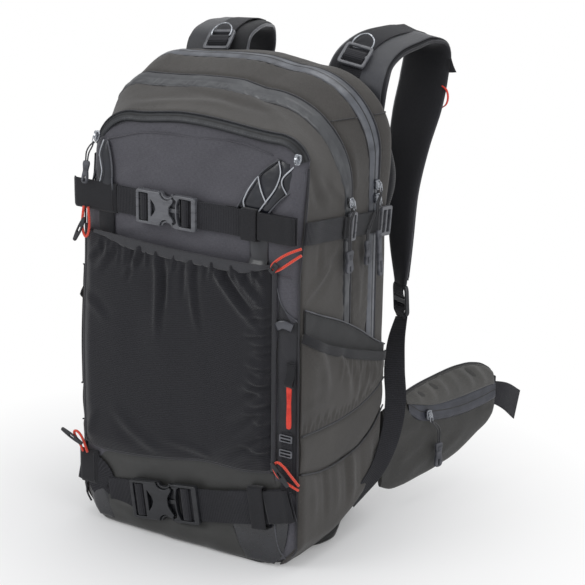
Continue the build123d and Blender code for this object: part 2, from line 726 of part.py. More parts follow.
# the webbing below it, from the adjuster down to the bag's lower corner
LOWER_STRAP = [
    (LOWER_X, LOWER_Y, LOWER_START_Z, LOWER_STRAP_WIDTH, 0),
    (LOWER_X + 4, LOWER_Y - 18, LOWER_START_Z - 26, LOWER_STRAP_WIDTH, 20),
    (HALF_WIDTH + 5, BACK_Y + 16, LOWER_START_Z - 52, LOWER_STRAP_WIDTH, 55),
    (HALF_WIDTH + 11, BACK_Y + 9, LOWER_START_Z - 86, LOWER_STRAP_WIDTH, 80),
    (HALF_WIDTH + 12, BACK_Y - 4, LOWER_START_Z - 126, LOWER_STRAP_WIDTH, 88),
    (HALF_WIDTH + 9, BACK_Y - 24, LOWER_START_Z - 158, LOWER_STRAP_WIDTH, 90),
    (HALF_WIDTH + 2.5, BACK_Y - 44, LOWER_START_Z - 174, LOWER_STRAP_WIDTH, 90),
]


def shoulder_strap():
    return ribbon(SHOULDER, SHOULDER_THICK)


def load_lifter():
    """Webbing from the lid's back edge to the top of the shoulder strap."""
    clear = SHOULDER_THICK / 2 + SEAT + WEB / 2
    planes = [station_plane(SHOULDER, i, clear) for i in range(1, 5)]
    return loft([(plane * Rectangle(LIFTER_WIDTH, WEB)).face() for plane in planes], ruled=True)


def lifter_buckle():
    """Ladder-lock on the load lifter, near the strap's root."""
    thick = 4.0
    clear = SHOULDER_THICK / 2 + SEAT + WEB + 0.9 + thick / 2
    first, second = station_plane(SHOULDER, 1, clear), station_plane(SHOULDER, 2, clear)
    along = (second.origin - first.origin).normalized()
    out = first.x_dir.cross(along)
    place = Plane(origin=first.origin + along * 17, x_dir=along, z_dir=out)
    return place * slide_frame(30, LIFTER_WIDTH + 8, thick, bar=4.5)


def strap_adjuster():
    """Ladder-lock between the padded strap and the lower webbing."""
    top = Vector(*SHOULDER[-1][:3])
    foot = Vector(*LOWER_STRAP[0][:3])
    along = (foot - top).normalized()
    across = (Vector(1, 0, 0) - along * along.X).normalized()
    length = (foot - top).length - 2 * ADJUSTER_GAP
    place = Plane(origin=(top + foot) * 0.5, x_dir=along, z_dir=across.cross(along))
    return place * slide_frame(length, LOWER_STRAP_WIDTH + 8, 5.0, bar=6.0)


# ---------------------------------------------------------------- hip belt
WING_PLANE = Plane(
    origin=(*WING_ROOT, 0),
    x_dir=(math.sin(math.radians(WING_TURN)), math.cos(math.radians(WING_TURN)), 0),
    z_dir=(math.cos(math.radians(WING_TURN)), -math.sin(math.radians(WING_TURN)), 0),
)
# (distance along, low z, high z, thickness) of the wing's sections
WING = [
    (3, 31, 139, 10),
    (38, 33, 146, WING_THICK - 4),
    (90, 42, 150, WING_THICK),
    (120, 48, 149, WING_THICK),
    (150, 64, 137, WING_THICK - 6),
    (WING_LENGTH, 86, 114, WING_TIP_THICK),
]


def wing_section(along, low, high, thick):
    """Upright section of the wing, flush with its outer face."""
    plane = Plane(origin=WING_PLANE.from_local_coords((along, (low + high) / 2, -thick / 2)),
                  x_dir=WING_PLANE.z_dir, z_dir=WING_PLANE.x_dir)
    return (plane * Rectangle(thick, high - low)).face()


def hip_wing():
    """Padded wing with the rolled seam that it hinges on."""
    pad = loft([wing_section(*s) for s in WING], ruled=True)
    roll = Pos(*WING_HINGE, (WING[0][1] + WING[0][2]) / 2) * Cylinder(7.0, WING[0][2] - WING[0][1])
    return pad + roll


ZIP_START = 56.0
ZIP_END = 156.0
WING_ZIP_Z = 106.0
WING_ZIP_WIDTH = 17.0


def wing_zip():
    """Zip tape on the outer face of the right wing."""
    half = WING_ZIP_WIDTH / 2
    band = box(ZIP_START, ZIP_END, WING_ZIP_Z - half, WING_ZIP_Z + half, SEAT, TAPE_OUT)
    return WING_PLANE * band


BELT_RUN_Z = 105.0          # middle of the webbing on the wing's inner side
BELT_BACK = -WING_THICK - 0.4  # inner face of the wing's thick part, with its gap


def belt_webbing():
    """Belt webbing: the tail that leaves the wing's tip, and the run back along its inner side."""
    tail = [
        (WING_LENGTH + SEAT, 90),
        (WING_LENGTH + 42, 58),
        (WING_LENGTH + 51, 93),
        (WING_LENGTH + SEAT, 118),
    ]
    turn = WING_LENGTH + 4.5
    inner = BELT_BACK - 0.9
    tail_depth = -WING_TIP_THICK / 2
    path = [
        (98, inner),
        (122, inner),
        (151, -(WING_THICK - 6) - 2.2),
        (turn, -WING_TIP_THICK - 2.0),
        (turn, tail_depth + 0.7),
    ]
    run = webbing(path, -BELT_WEB / 2, BELT_WEB / 2)
    run = Pos(0, BELT_RUN_Z, 0) * Rot(90, 0, 0) * run
    return WING_PLANE * (plate(tail, tail_depth, tail_depth + WEB) + run)


def on_belt(shape, along, turn):
    """A buckle half on the inner side of a hip wing."""
    return WING_PLANE * Pos(along, BELT_RUN_Z, BELT_BACK) * Rot(0, 0, turn) * Rot(90, 0, 0) * shape


# ---------------------------------------------------------------- write the pieces
SLIDERS = {
    "main_low": side_plane(MAIN_ZIP_Y + 1, UPPER_Z + 3),
    "main_high": side_plane(MAIN_ZIP_Y + 1, UPPER_Z + 18),
    "front": side_plane(FRONT_ZIP_Y, UPPER_Z + 11),
    "goggle": lean_plane(GOGGLE_ZIP[0][0] + 5, GOGGLE_ZIP[0][1] + 1),
    "goggle_end": lean_plane(GOGGLE_ZIP[2][0] - 5, GOGGLE_ZIP[2][1] + 0.5),
    "wing": WING_PLANE * Pos(ZIP_START + 6, WING_ZIP_Z, TAPE_OUT + FIT),
}


PULLS = {                   # cord length, grip length, sideways step
    "main_low": (42, 27),
    "main_high": (58, 20, -12),
    "front": (52, 24),
    "goggle": (28, 22),
    "wing": (28, 28),
}


def all_parts():
    upper, lower = FRONT_STRAPS["upper"], FRONT_STRAPS["lower"]
    parts = {
        "bottom_panel": bottom_panel(),
        "corner_patches": corner_patches(),
        "front_compartment": front_compartment(),
        "goggle_pocket": goggle_pocket(),
        "main_compartment": main_compartment(),
        "frame_sheet": frame_sheet(),
        "frame_stays": frame_stays(),
        "back_panel": back_panel(),
        "back_pads": back_pads(),
        "lumbar_pad": lumbar_pad(),
        "main_zip": lid_zip(MAIN_ZIP_Y),
        "front_zip": lid_zip(FRONT_ZIP_Y),
        "goggle_zip": goggle_zip(),
        "stretch_pocket": stretch_pocket(),
        "pocket_hem": pocket_hem(),
        "hem_tabs": hem_tabs(),
        "strap_keepers": strap_keepers(),
        "cord_hooks": cord_hooks(),
        "tab_anchor": tab_anchor(),
        "pull_tab": pull_tab(),
        "side_pocket_right": side_pocket(),
        "side_pocket_left": mirrored(side_pocket()),
        "side_straps": both(side_strap()),
        "strap_slides": strap_slides(),
        "side_buckles": side_buckles(),
        "shoulder_strap_right": shoulder_strap(),
        "shoulder_strap_left": mirrored(shoulder_strap()),
        "load_lifters": both(load_lifter()),
        "lifter_buckles": both(lifter_buckle()),
        "strap_adjusters": both(strap_adjuster()),
        "lower_webbing": both(ribbon(LOWER_STRAP, WEB)),
        "hip_wing_right": hip_wing(),
        "hip_wing_left": mirrored(hip_wing()),
        "wing_zip": wing_zip(),
        "belt_webbing_right": belt_webbing(),
        "belt_webbing_left": mirrored(belt_webbing()),
        "belt_buckle_male": on_belt(male_buckle(BELT_WEB / 2, 0.9), 92, 0),
        "belt_buckle_female": mirrored(on_belt(female_buckle(BELT_WEB / 2, 0.9), 58, 180)),
    }
    parts["front_webbing"] = Compound(
        [strap_left(s) for s in (upper, lower)] + [strap_right(s) for s in (upper, lower)]
    )
    for name, s in FRONT_STRAPS.items():
        half = s["web"] / 2
        parts[name + "_buckle_female"] = placed_buckle(s, female_buckle(half, s["k"]))
        parts[name + "_buckle_male"] = placed_buckle(s, male_buckle(half, s["k"]))
        parts[name + "_strap_loop"] = strap_loop(s)
    for name, route in CORD_ROUTES.items():
        parts[name] = cord_tube(route, CORD)
    for name, place in SLIDERS.items():
        parts[name + "_slider"] = place * slider_body()
        if name in PULLS:
            parts[name + "_pull"] = place * pull_body(*PULLS[name])
    return parts


for name, shape in all_parts().items():
    export_step(shape, f"parts/{name}.step")
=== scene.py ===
import bpy
import json
import math
import numpy as np
from mathutils import Matrix, Vector
from types import SimpleNamespace

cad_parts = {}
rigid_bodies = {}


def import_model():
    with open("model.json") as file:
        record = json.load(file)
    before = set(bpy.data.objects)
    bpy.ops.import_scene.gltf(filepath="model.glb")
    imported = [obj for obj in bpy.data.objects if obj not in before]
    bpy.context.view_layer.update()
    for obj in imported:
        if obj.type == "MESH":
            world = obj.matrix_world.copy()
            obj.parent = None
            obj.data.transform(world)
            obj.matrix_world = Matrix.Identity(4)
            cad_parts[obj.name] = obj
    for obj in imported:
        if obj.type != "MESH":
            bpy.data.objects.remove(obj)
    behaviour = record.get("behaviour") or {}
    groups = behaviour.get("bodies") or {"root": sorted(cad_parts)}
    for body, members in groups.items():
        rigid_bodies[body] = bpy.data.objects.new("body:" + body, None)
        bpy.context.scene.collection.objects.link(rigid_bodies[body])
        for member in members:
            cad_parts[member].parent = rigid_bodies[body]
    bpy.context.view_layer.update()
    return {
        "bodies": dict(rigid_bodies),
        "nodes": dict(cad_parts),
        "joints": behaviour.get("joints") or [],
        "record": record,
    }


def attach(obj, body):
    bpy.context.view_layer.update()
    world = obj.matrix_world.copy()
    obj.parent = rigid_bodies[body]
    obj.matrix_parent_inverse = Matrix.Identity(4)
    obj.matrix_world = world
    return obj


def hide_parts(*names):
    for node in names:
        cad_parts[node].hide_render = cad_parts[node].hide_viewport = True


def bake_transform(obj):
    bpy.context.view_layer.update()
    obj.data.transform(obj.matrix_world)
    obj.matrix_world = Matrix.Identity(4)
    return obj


# Ski backpack. Lengths are millimetres, except those whose name ends in _M and the cord routes;
# MM turns them into metres where a mesh is made. -Y is the front, +X the right-hand side.
MM = 0.001
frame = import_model()
bpy.ops.object.select_all(action="DESELECT")


# ---- numbers and curves
def clamp(x):
    return np.clip(x, 0, 1)


def smooth(x):
    """0 to 1 with level ends."""
    x = clamp(x)
    return x * x * (3 - 2 * x)


def bell(x):
    """1 at 0, falling away on both sides."""
    return np.exp(-(x ** 2))


def through(xs, ys, x):
    """A smooth curve through the points (xs, ys), level beyond its ends."""
    xs, ys = np.asarray(xs, float), np.asarray(ys, float)
    slopes = np.gradient(ys, xs)
    x = np.clip(x, xs[0], xs[-1])
    i = np.clip(np.searchsorted(xs, x, side="right") - 1, 0, len(xs) - 2)
    h = xs[i + 1] - xs[i]
    t = (x - xs[i]) / h
    a = (2 * t**3 - 3 * t**2 + 1) * ys[i] + (t**3 - 2 * t**2 + t) * h * slopes[i]
    return a + (-2 * t**3 + 3 * t**2) * ys[i + 1] + (t**3 - t**2) * h * slopes[i + 1]


def graded(low, high, step, fine=None, reach=6, at=()):
    """Positions from low to high, closer together at both ends and around some places."""
    s = np.linspace(low, high, 3000)
    density = np.full_like(s, 1 / step)
    if fine:
        gaps = [np.minimum(s - low, high - s)] + [np.abs(s - c) for c in at]
        for gap in gaps:
            density = np.maximum(density, bell(gap / reach) / fine)
    total = np.concatenate([[0], np.cumsum((density[1:] + density[:-1]) / 2 * np.diff(s))])
    count = int(math.ceil(total[-1]))
    return np.interp(np.linspace(0, total[-1], count + 1), total, s)


def noise2(a, b, seed):
    """Smooth noise from -1 to 1 over a plane, the same on each run."""
    grid = np.random.RandomState(seed).rand(64, 64) * 2 - 1
    i, j = np.floor(a).astype(int), np.floor(b).astype(int)
    s, t = smooth(a - i), smooth(b - j)
    i0, i1, j0, j1 = i % 64, (i + 1) % 64, j % 64, (j + 1) % 64
    low = grid[i0, j0] * (1 - s) + grid[i1, j0] * s
    high = grid[i0, j1] * (1 - s) + grid[i1, j1] * s
    return low * (1 - t) + high * t


def cloth_noise(a, b, size, seed):
    """Two scales of smooth noise, the larger one of the given size."""
    return noise2(a / size, b / size, seed) + 0.4 * noise2(a / size * 2.3, b / size * 2.3, seed + 1)


def fold(a, b, start, end, width, height, bend=0):
    """A ridge, or with a negative height a crease, from start to end, with a softer one beside it."""
    ax, ay = start
    dx, dy = end[0] - ax, end[1] - ay
    length = math.hypot(dx, dy)
    t = ((a - ax) * dx + (b - ay) * dy) / length**2
    off = ((b - ay) * dx - (a - ax) * dy) / length - bend * 4 * t * (1 - t)
    taper = smooth(t / 0.25 + 0.15) * smooth((1 - t) / 0.45)
    taper = np.where((t < -0.1) | (t > 1), 0, taper)
    main = bell(off / width)
    beside = bell((off - 1.7 * width) / (1.1 * width))
    return height * taper * (main - 0.55 * beside)


def folds(a, b, rows):
    """Sum of folds, each row being two places, then width, height and bend."""
    return sum(fold(a, b, row[:2], row[2:4], *row[4:]) for row in rows)


def edge_roll(a, b, depth, reach, sides="abcd"):
    """How far a panel tucks in towards its seams; sides a and b end the rows, c and d the columns."""
    gaps = np.full(a.shape, 1e9)
    for side, gap in zip("abcd", (a - a[:1], a[-1:] - a, b - b[:, :1], b[:, -1:] - b)):
        if side in sides:
            gaps = np.minimum(gaps, gap)
    return -depth * bell(gaps / reach)


def run_lengths(P, axis):
    """Distance along a grid of points from its first row or column."""
    steps = np.linalg.norm(np.diff(P, axis=axis), axis=2)
    zero = np.zeros_like(np.take(steps, [0], axis=axis))
    return np.cumsum(np.concatenate([zero, steps], axis=axis), axis=axis)


def runs(P):
    """Distances along a grid's columns and along its rows."""
    return run_lengths(P, 0), run_lengths(P, 1)


def run_of(line):
    """Distance along a line of points from its first one."""
    return np.concatenate([[0], np.cumsum(np.linalg.norm(np.diff(line, axis=0), axis=1))])


def cross_grid(rows, columns):
    """Both coordinates of a grid."""
    return np.meshgrid(rows, columns, indexing="ij")


def points(*coordinates):
    return np.stack(coordinates, axis=-1)


def unit_rows(v):
    return v / np.linalg.norm(v, axis=1, keepdims=True)


def placed(place, spots):
    """Points moved by a matrix."""
    return np.array([tuple(place @ Vector(p)) for p in spots])


def turned(place, direction):
    """A direction turned by a matrix."""
    return np.array(place.to_3x3() @ Vector(direction))


def ups_for(wide, path):
    """Up vectors of a band whose width lies along one direction."""
    return np.cross(wide, np.gradient(path, axis=0))


def normals(P):
    n = np.cross(np.gradient(P, axis=0), np.gradient(P, axis=1))
    return n / np.maximum(np.linalg.norm(n, axis=2, keepdims=True), 1e-9)


FORWARD, BACKWARD, OUTWARD = (0, -1, 0), (0, 1, 0), (1, 0, 0)
TAG = {1: "right", -1: "left"}      # by the sign of x


# ---- meshes
def linked(name, data):
    """A new object of the scene."""
    item = bpy.data.objects.new(name, data)
    bpy.context.scene.collection.objects.link(item)
    return item


def select_only(piece):
    bpy.ops.object.select_all(action="DESELECT")
    piece.select_set(True)
    bpy.context.view_layer.objects.active = piece


def curve_mesh(name, curve):
    """Vertices and faces of a curve, which is then removed."""
    holder = linked(name, curve)
    mesh = bpy.data.meshes.new_from_object(holder.evaluated_get(bpy.context.evaluated_depsgraph_get()))
    verts, faces = [v.co.copy() for v in mesh.vertices], [tuple(f.vertices) for f in mesh.polygons]
    bpy.data.objects.remove(holder)
    bpy.data.curves.remove(curve)
    bpy.data.meshes.remove(mesh)
    return verts, faces


def make_mesh(name, verts, faces, material, uvs=None):
    """A mesh object from millimetre points, at the origin."""
    mesh = bpy.data.meshes.new(name)
    mesh.from_pydata((np.asarray(verts) * MM).tolist(), [], faces)
    if uvs is not None:
        layer = mesh.uv_layers.new(name="UVMap")
        loops = np.empty(len(mesh.loops), dtype=np.int32)
        mesh.loops.foreach_get("vertex_index", loops)
        layer.data.foreach_set("uv", np.asarray(uvs)[loops].astype(np.float32).ravel())
    mesh.validate()
    mesh.shade_smooth()
    mesh.materials.append(material)
    return linked(name, mesh)


def part_piece(name, part, material):
    """A mesh object from a part, which is vertices, faces and UVs."""
    return make_mesh(name, part[0], part[1], material, part[2] * MM)


def join_parts(parts):
    """Several closed parts as one."""
    faces, start = [], 0
    for verts, part_faces, _ in parts:
        faces += [[i + start for i in face] for face in part_faces]
        start += len(verts)
    return np.concatenate([p[0] for p in parts]), faces, np.concatenate([p[2] for p in parts])


def sheet_part(P, thick, out=1):
    """A closed sheet: the outer grid P, the same grid moved in by thick, and a rim."""
    n, m = P.shape[:2]
    Q = P - normals(P) * thick * out
    verts = np.concatenate([P.reshape(-1, 3), Q.reshape(-1, 3)])
    cell = [(i * m + j, (i + 1) * m + j, (i + 1) * m + j + 1,
        i * m + j + 1) for i in range(n - 1) for j in range(m - 1)]
    inner = [tuple(n * m + k for k in reversed(f)) for f in cell]
    loop = [j for j in range(m)] + [i * m + m - 1 for i in range(1, n)]
    loop += [(n - 1) * m + j for j in range(m - 2, -1, -1)] + [i * m for i in range(n - 2, 0, -1)]
    rim = []
    for k, here in enumerate(loop):
        there = loop[(k + 1) % len(loop)]
        rim.append((here, there, n * m + there, n * m + here))
    faces = cell + inner + rim
    if out < 0:
        faces = [tuple(reversed(f)) for f in faces]
    u = run_lengths(P, 0).reshape(-1)
    v = run_lengths(P, 1).reshape(-1)
    uv = points(u, v)
    return verts, faces, np.concatenate([uv, uv])


def sweep_part(path, section, ups=None, closed=False):
    """A closed section (x across, y up) carried along a path; ups are the section's up vectors."""
    path = np.asarray(path, float)
    section = np.asarray(section, float)
    n, k = len(path), section.shape[-2]
    if closed:
        along = np.roll(path, -1, axis=0) - np.roll(path, 1, axis=0)
    else:
        along = np.gradient(path, axis=0)
    along = unit_rows(along)
    if ups is None:
        up = np.array([0, 0, 1]) if abs(along[0][2]) < 0.9 else np.array([0, 1, 0])
        ups = []
        for t in along:
            up = up - t * (up @ t)
            up /= np.linalg.norm(up)
            ups.append(up)
    ups = np.asarray(ups, float)
    ups = ups - along * np.sum(ups * along, axis=1, keepdims=True)
    ups = unit_rows(ups)
    across = np.cross(along, ups)
    if section.ndim == 2:
        section = np.repeat(section[None], n, axis=0)
    rings = path[:, None] + across[:, None] * section[:, :, :1] + ups[:, None] * section[:, :, 1:]
    verts = rings.reshape(-1, 3)
    faces = []
    for i in range(n if closed else n - 1):
        j = (i + 1) % n
        for c in range(k):
            d = (c + 1) % k
            faces.append((i * k + c, i * k + d, j * k + d, j * k + c))
    if not closed:
        faces.append(tuple(reversed(range(k))))
        faces.append(tuple((n - 1) * k + c for c in range(k)))
    run = run_of(path)
    u = np.repeat(run, k)
    v = section[:, :, 0].reshape(-1)
    return verts, faces, points(u, v)


def round_section(radius, sides=8, squash=1):
    angles = np.arange(sides) * 2 * math.pi / sides
    return points(radius * np.cos(angles), radius * squash * np.sin(angles))


def band_section(width, thick, crown=0):
    """Cross-section of webbing: rounded edges and a slightly thinner rim."""
    half, t = width / 2, thick / 2
    xs = np.array([-1, -0.985, -0.93, -0.6, 0, 0.6, 0.93, 0.985, 1]) * half
    tops = np.array([0.25, 0.75, 1, 0.96, 0.96, 0.96, 1, 0.75, 0.25]) * t
    rise = crown * (1 - (xs / half) ** 2)
    top = points(xs, tops + rise)
    under = points(xs[::-1], -tops[::-1] + rise[::-1])
    return np.concatenate([top, under])[::-1]


def swept(name, path, section, ups, material):
    return part_piece(name, sweep_part(path, section, ups), material)


def tube_piece(name, path, radius, material, sides=8, ups=None, squash=1):
    return swept(name, path, round_section(radius, sides, squash), ups, material)


def spaced(spots, step):
    """Points evenly spaced along a smooth curve through a few given points."""
    spots = np.asarray(spots, float)
    run = run_of(spots)
    t = np.linspace(0, run[-1], max(3, int(run[-1] / step) + 1))
    bend = through if len(spots) > 2 else lambda xs, ys, x: np.interp(x, xs, ys)
    return points(*(bend(run, column, t) for column in spots.T))


def plate_part(outline, holes, thick, bevel, place):
    """A moulded plate with rounded edges, from an outline and holes in its own XY plane."""
    curve = bpy.data.curves.new("plate", "CURVE")
    curve.dimensions = "2D"
    curve.fill_mode = "BOTH"
    curve.extrude = max(thick / 2 - bevel, 0.01)
    curve.bevel_depth = bevel
    curve.bevel_resolution = 3
    curve.offset = -bevel
    for points in [outline] + list(holes):
        spline = curve.splines.new("POLY")
        spline.points.add(len(points) - 1)
        for p, (x, y) in zip(spline.points, points):
            p.co = (x, y, 0, 1)
        spline.use_cyclic_u = True
    verts, faces = curve_mesh("plate", curve)
    return placed(place, verts), faces, np.array(verts)[:, :2]


def rounded(points, radius, steps=4):
    """A closed outline with rounded corners; radius is one number or one for each point."""
    points = [np.asarray(p, float) for p in points]
    radii = radius if isinstance(radius, (list, tuple)) else [radius] * len(points)
    result = []
    for i, (at, r) in enumerate(zip(points, radii)):
        before, after = points[i - 1], points[(i + 1) % len(points)]
        if r <= 0:
            result.append(tuple(at))
            continue
        into, out = before - at, after - at
        r_in = min(r, np.linalg.norm(into) * 0.48)
        r_out = min(r, np.linalg.norm(out) * 0.48)
        start = at + into / np.linalg.norm(into) * r_in
        end = at + out / np.linalg.norm(out) * r_out
        for t in np.linspace(0, 1, steps + 1):
            result.append(tuple(start * (1 - t) ** 2 + at * 2 * t * (1 - t) + end * t * t))
    return result


# ---- materials
def shade(code):
    """Scene colour of an sRGB code."""
    parts = [int(code[i:i + 2], 16) / 255 for i in (0, 2, 4)]
    return tuple(c / 12.92 if c < 0.04045 else ((c + 0.055) / 1.055) ** 2.4 for c in parts) + (1,)


class Finish:
    """A node material, built up node by node."""

    def __init__(self, name, **values):
        self.material = bpy.data.materials.new(name)
        self.material.use_nodes = True
        self.tree = self.material.node_tree
        self.shader = self.tree.nodes["Principled BSDF"]
        for socket, value in values.items():
            self.shader.inputs[socket.replace("_", " ")].default_value = value
        self.coords = self.tree.nodes.new("ShaderNodeTexCoord")

    def node(self, kind, links=(), **settings):
        node = self.tree.nodes.new("ShaderNode" + kind)
        for key, value in settings.items():
            if key in node.inputs:
                node.inputs[key].default_value = value
            else:
                setattr(node, key, value)
        for socket, source in links:
            self.tree.links.new(source, node.inputs[socket])
        return node

    def feed(self, socket, source):
        """A number or colour set on a socket, or another node's output linked to it."""
        if isinstance(source, (int, float, tuple)):
            socket.default_value = source
        else:
            self.tree.links.new(source, socket)

    def place(self, space, scale, turn=0):
        """Coordinates scaled, and turned about Z, for a pattern."""
        return self.node("Mapping", [("Vector", self.coords.outputs[space])], Scale=scale,
            Rotation=(0, 0, turn)).outputs["Vector"]

    def noise(self, space, scale, detail=3, rough=0.5):
        return self.node("TexNoise", [("Vector", self.place(space, scale))], Scale=1, Detail=detail,
            Roughness=rough).outputs["Fac"]

    def wave(self, period, axis="X", turn=0, bend=0):
        """Bands along the UV map with a period in metres."""
        return self.node("TexWave", [("Vector", self.place("UV", (1, 1, 1), turn))], Scale=0.3142 / period,
            Distortion=bend, bands_direction=axis).outputs["Fac"]

    def math(self, operation, a, b=None):
        node = self.node("Math", operation=operation)
        for socket, value in zip(node.inputs, (a,) if b is None else (a, b)):
            self.feed(socket, value)
        return node.outputs[0]

    def ramp(self, value, low, high, out_low=0, out_high=1):
        node = self.node("MapRange", [("Value", value)])
        for socket, number in zip(("From Min", "From Max", "To Min", "To Max"),
                (low, high, out_low, out_high)):
            node.inputs[socket].default_value = number
        return node.outputs[0]

    def mix(self, value, a, b):
        node = self.node("Mix", data_type="RGBA")
        for socket, source in ((0, value), (6, a), (7, b)):
            self.feed(node.inputs[socket], source)
        return node.outputs[2]

    def mottled(self, size, detail, dark, light, low=0.3, high=0.7):
        """Colour that drifts between two codes."""
        return self.mix(self.ramp(self.noise("Object", (size,) * 3, detail), low, high), shade(dark),
            shade(light))

    def color(self, source):
        self.tree.links.new(source, self.shader.inputs["Base Color"])

    def roughness(self, source):
        self.tree.links.new(source, self.shader.inputs["Roughness"])

    def bump(self, height, distance, strength=1, under=None):
        node = self.node("Bump", [("Height", height)], Strength=strength, Distance=distance)
        if under is not None:
            self.tree.links.new(under, node.inputs["Normal"])
        self.tree.links.new(node.outputs[0], self.shader.inputs["Normal"])
        return node.outputs[0]


def woven(name, dark, light, rough, thread=0.0011, relief=0.00025, melange=0.5, sheen=0.25, coat=0):
    """Plain-weave pack cloth: crossed threads, streaky yarn colour and soft, uneven dye."""
    f = Finish(name, Roughness=rough, Sheen_Weight=sheen, Sheen_Roughness=0.5, Specular_IOR_Level=0.4,
        Coat_Weight=coat, Coat_Roughness=0.35)
    streaks = f.noise("UV", (240, 1500, 400), 2)
    cross = f.noise("UV", (1300, 260, 400), 2)
    dye = f.noise("Object", (14, 14, 14), 3)
    yarn = f.math("ADD", f.math("MULTIPLY", streaks, 0.6), f.math("MULTIPLY", cross, 0.4))
    fac = f.math("ADD", f.math("MULTIPLY", f.ramp(yarn, 0.36, 0.64), melange), f.ramp(dye, 0.3, 0.7, 0, 0.45))
    f.color(f.mix(fac, shade(dark), shade(light)))
    warp, weft = f.wave(thread, "X"), f.wave(thread, "Y")
    weave = f.math("MAXIMUM", warp, f.math("MULTIPLY", weft, 0.9))
    f.roughness(f.ramp(dye, 0.3, 0.7, rough - 0.05, rough + 0.07))
    soft = f.bump(f.noise("Object", (90, 90, 90), 4), 0.0009, 0.35)
    f.bump(weave, relief, 0.6, soft)
    return f.material


def ribbed(name, dark, light, rib, relief):
    """Webbing or tape: ribs across its length, flecked yarn and a plain selvedge."""
    f = Finish(name, Roughness=0.85, Sheen_Weight=0.15, Sheen_Roughness=0.4, Specular_IOR_Level=0.35)
    ribs = f.wave(rib, "X", bend=0.4)
    yarn = f.wave(rib * 0.9, "Y")
    fleck = f.noise("UV", (900, 700, 500), 3)
    wear = f.noise("Object", (30, 30, 30), 3)
    tone = f.math("ADD", f.math("MULTIPLY", ribs, 0.5), f.math("MULTIPLY", f.ramp(fleck, 0.35, 0.7), 0.5))
    tone = f.math("ADD", tone, f.ramp(wear, 0.45, 0.8, 0, 0.25))
    f.color(f.mix(tone, shade(dark), shade(light)))
    height = f.math("ADD", ribs, f.math("MULTIPLY", yarn, 0.35))
    f.bump(height, relief, 0.8)
    return f.material


def moulded(name, dark, light, rough, spec=0.5, coat=0):
    """Moulded plastic: fine spark grain, faint flow marks and rubbed places."""
    f = Finish(name, Roughness=rough, Specular_IOR_Level=spec, Coat_Weight=coat, Coat_Roughness=0.2)
    flow = f.noise("Object", (60, 60, 160), 3)
    scuff = f.noise("Object", (400, 90, 300), 4, 0.6)
    f.color(f.mix(f.ramp(flow, 0.3, 0.7), shade(dark), shade(light)))
    f.roughness(f.math("ADD", f.ramp(flow, 0.3, 0.7, rough - 0.06, rough + 0.05),
        f.ramp(scuff, 0.6, 0.8, 0, 0.12)))
    f.bump(f.noise("Object", (2600, 2600, 2600), 2), 0.00006, 0.5)
    return f.material


def metal(name, dark, light, rough):
    f = Finish(name, Metallic=1, Roughness=rough)
    f.color(f.mottled(500, 3, dark, light, 0.35, 0.65))
    scratch = f.noise("Object", (300, 3000, 900), 3)
    f.roughness(f.ramp(scratch, 0.3, 0.7, rough - 0.08, rough + 0.12))
    f.bump(scratch, 0.00003, 0.4)
    return f.material


def elastic(name, dark, light):
    """Round elastic cord: a braided cover, by UV."""
    f = Finish(name, Roughness=0.6, Sheen_Weight=0.3, Specular_IOR_Level=0.4)
    one, two = f.wave(0.0016, "X", 0.6), f.wave(0.0016, "X", -0.6)
    braid = f.math("MAXIMUM", one, two)
    f.color(f.mix(f.math("MULTIPLY", braid, 0.8), shade(dark), shade(light)))
    f.bump(braid, 0.0003, 0.7)
    return f.material


def stretch_knit(name, dark, light):
    """Power-stretch knit: fine level ribs and a soft bloom."""
    f = Finish(name, Roughness=0.82, Sheen_Weight=0.2, Sheen_Roughness=0.45, Specular_IOR_Level=0.3)
    ribs = f.wave(0.0021, "Y", bend=0.7)
    stitch = f.wave(0.0012, "X", bend=0.5)
    fleck = f.noise("UV", (500, 900, 500), 3)
    tone = f.math("ADD", f.math("MULTIPLY", ribs, 0.55), f.ramp(fleck, 0.35, 0.7, 0, 0.45))
    f.color(f.mix(tone, shade(dark), shade(light)))
    f.bump(f.math("ADD", ribs, f.math("MULTIPLY", stitch, 0.5)), 0.0004, 0.7)
    return f.material


def slick(name, dark, light, rough, coat=0.6, ripple=0.0006):
    """Laminated or coated cloth: glossy, with a shallow orange-peel ripple."""
    f = Finish(name, Roughness=rough, Coat_Weight=coat, Coat_Roughness=0.12, Specular_IOR_Level=0.6)
    f.color(f.mottled(40, 4, dark, light))
    f.roughness(f.ramp(f.noise("Object", (120, 120, 120), 3), 0.3, 0.7, rough - 0.06, rough + 0.1))
    peel = f.bump(f.noise("Object", (160, 160, 160), 3), ripple, 0.5)
    f.bump(f.noise("Object", (1400, 1400, 1400), 2), 0.00008, 0.5, peel)
    return f.material


FRONT_CLOTH = woven("front_cloth", "3c3b42", "5b5a61", 0.62, sheen=0.2)
SIDE_CLOTH = woven("side_cloth", "2f2c2a", "4a4744", 0.66, sheen=0.14)
BINDING_CLOTH = woven("binding_cloth", "1d1d20", "34343a", 0.7, thread=0.0009)
STRETCH = stretch_knit("stretch_knit", "111114", "2a2a30")
COATED = woven("coated_cloth", "20201f", "343432", 0.42, thread=0.0008, relief=0.00012, melange=0.3,
    coat=0.25)
BASE_CLOTH = woven("base_cloth", "161617", "262628", 0.45, thread=0.0008, relief=0.00012, melange=0.3,
    coat=0.2)
WING_TOP = woven("wing_top_cloth", "3b3a38", "5c5a57", 0.6, thread=0.001)
PATCH = slick("glossy_patch", "101116", "1c1d24", 0.26)
LEAF = slick("leaf_laminate", "0a0c13", "171a24", 0.36, coat=0.15)
PIPING = slick("piping", "2f3036", "4d4e55", 0.3, coat=0.3, ripple=0.0002)
ZIP_SATIN = slick("zip_satin", "2b2c31", "444649", 0.44, coat=0.2, ripple=0.0002)
ZIP_DARK = slick("zip_dark", "131318", "24252b", 0.35, coat=0.3, ripple=0.0001)
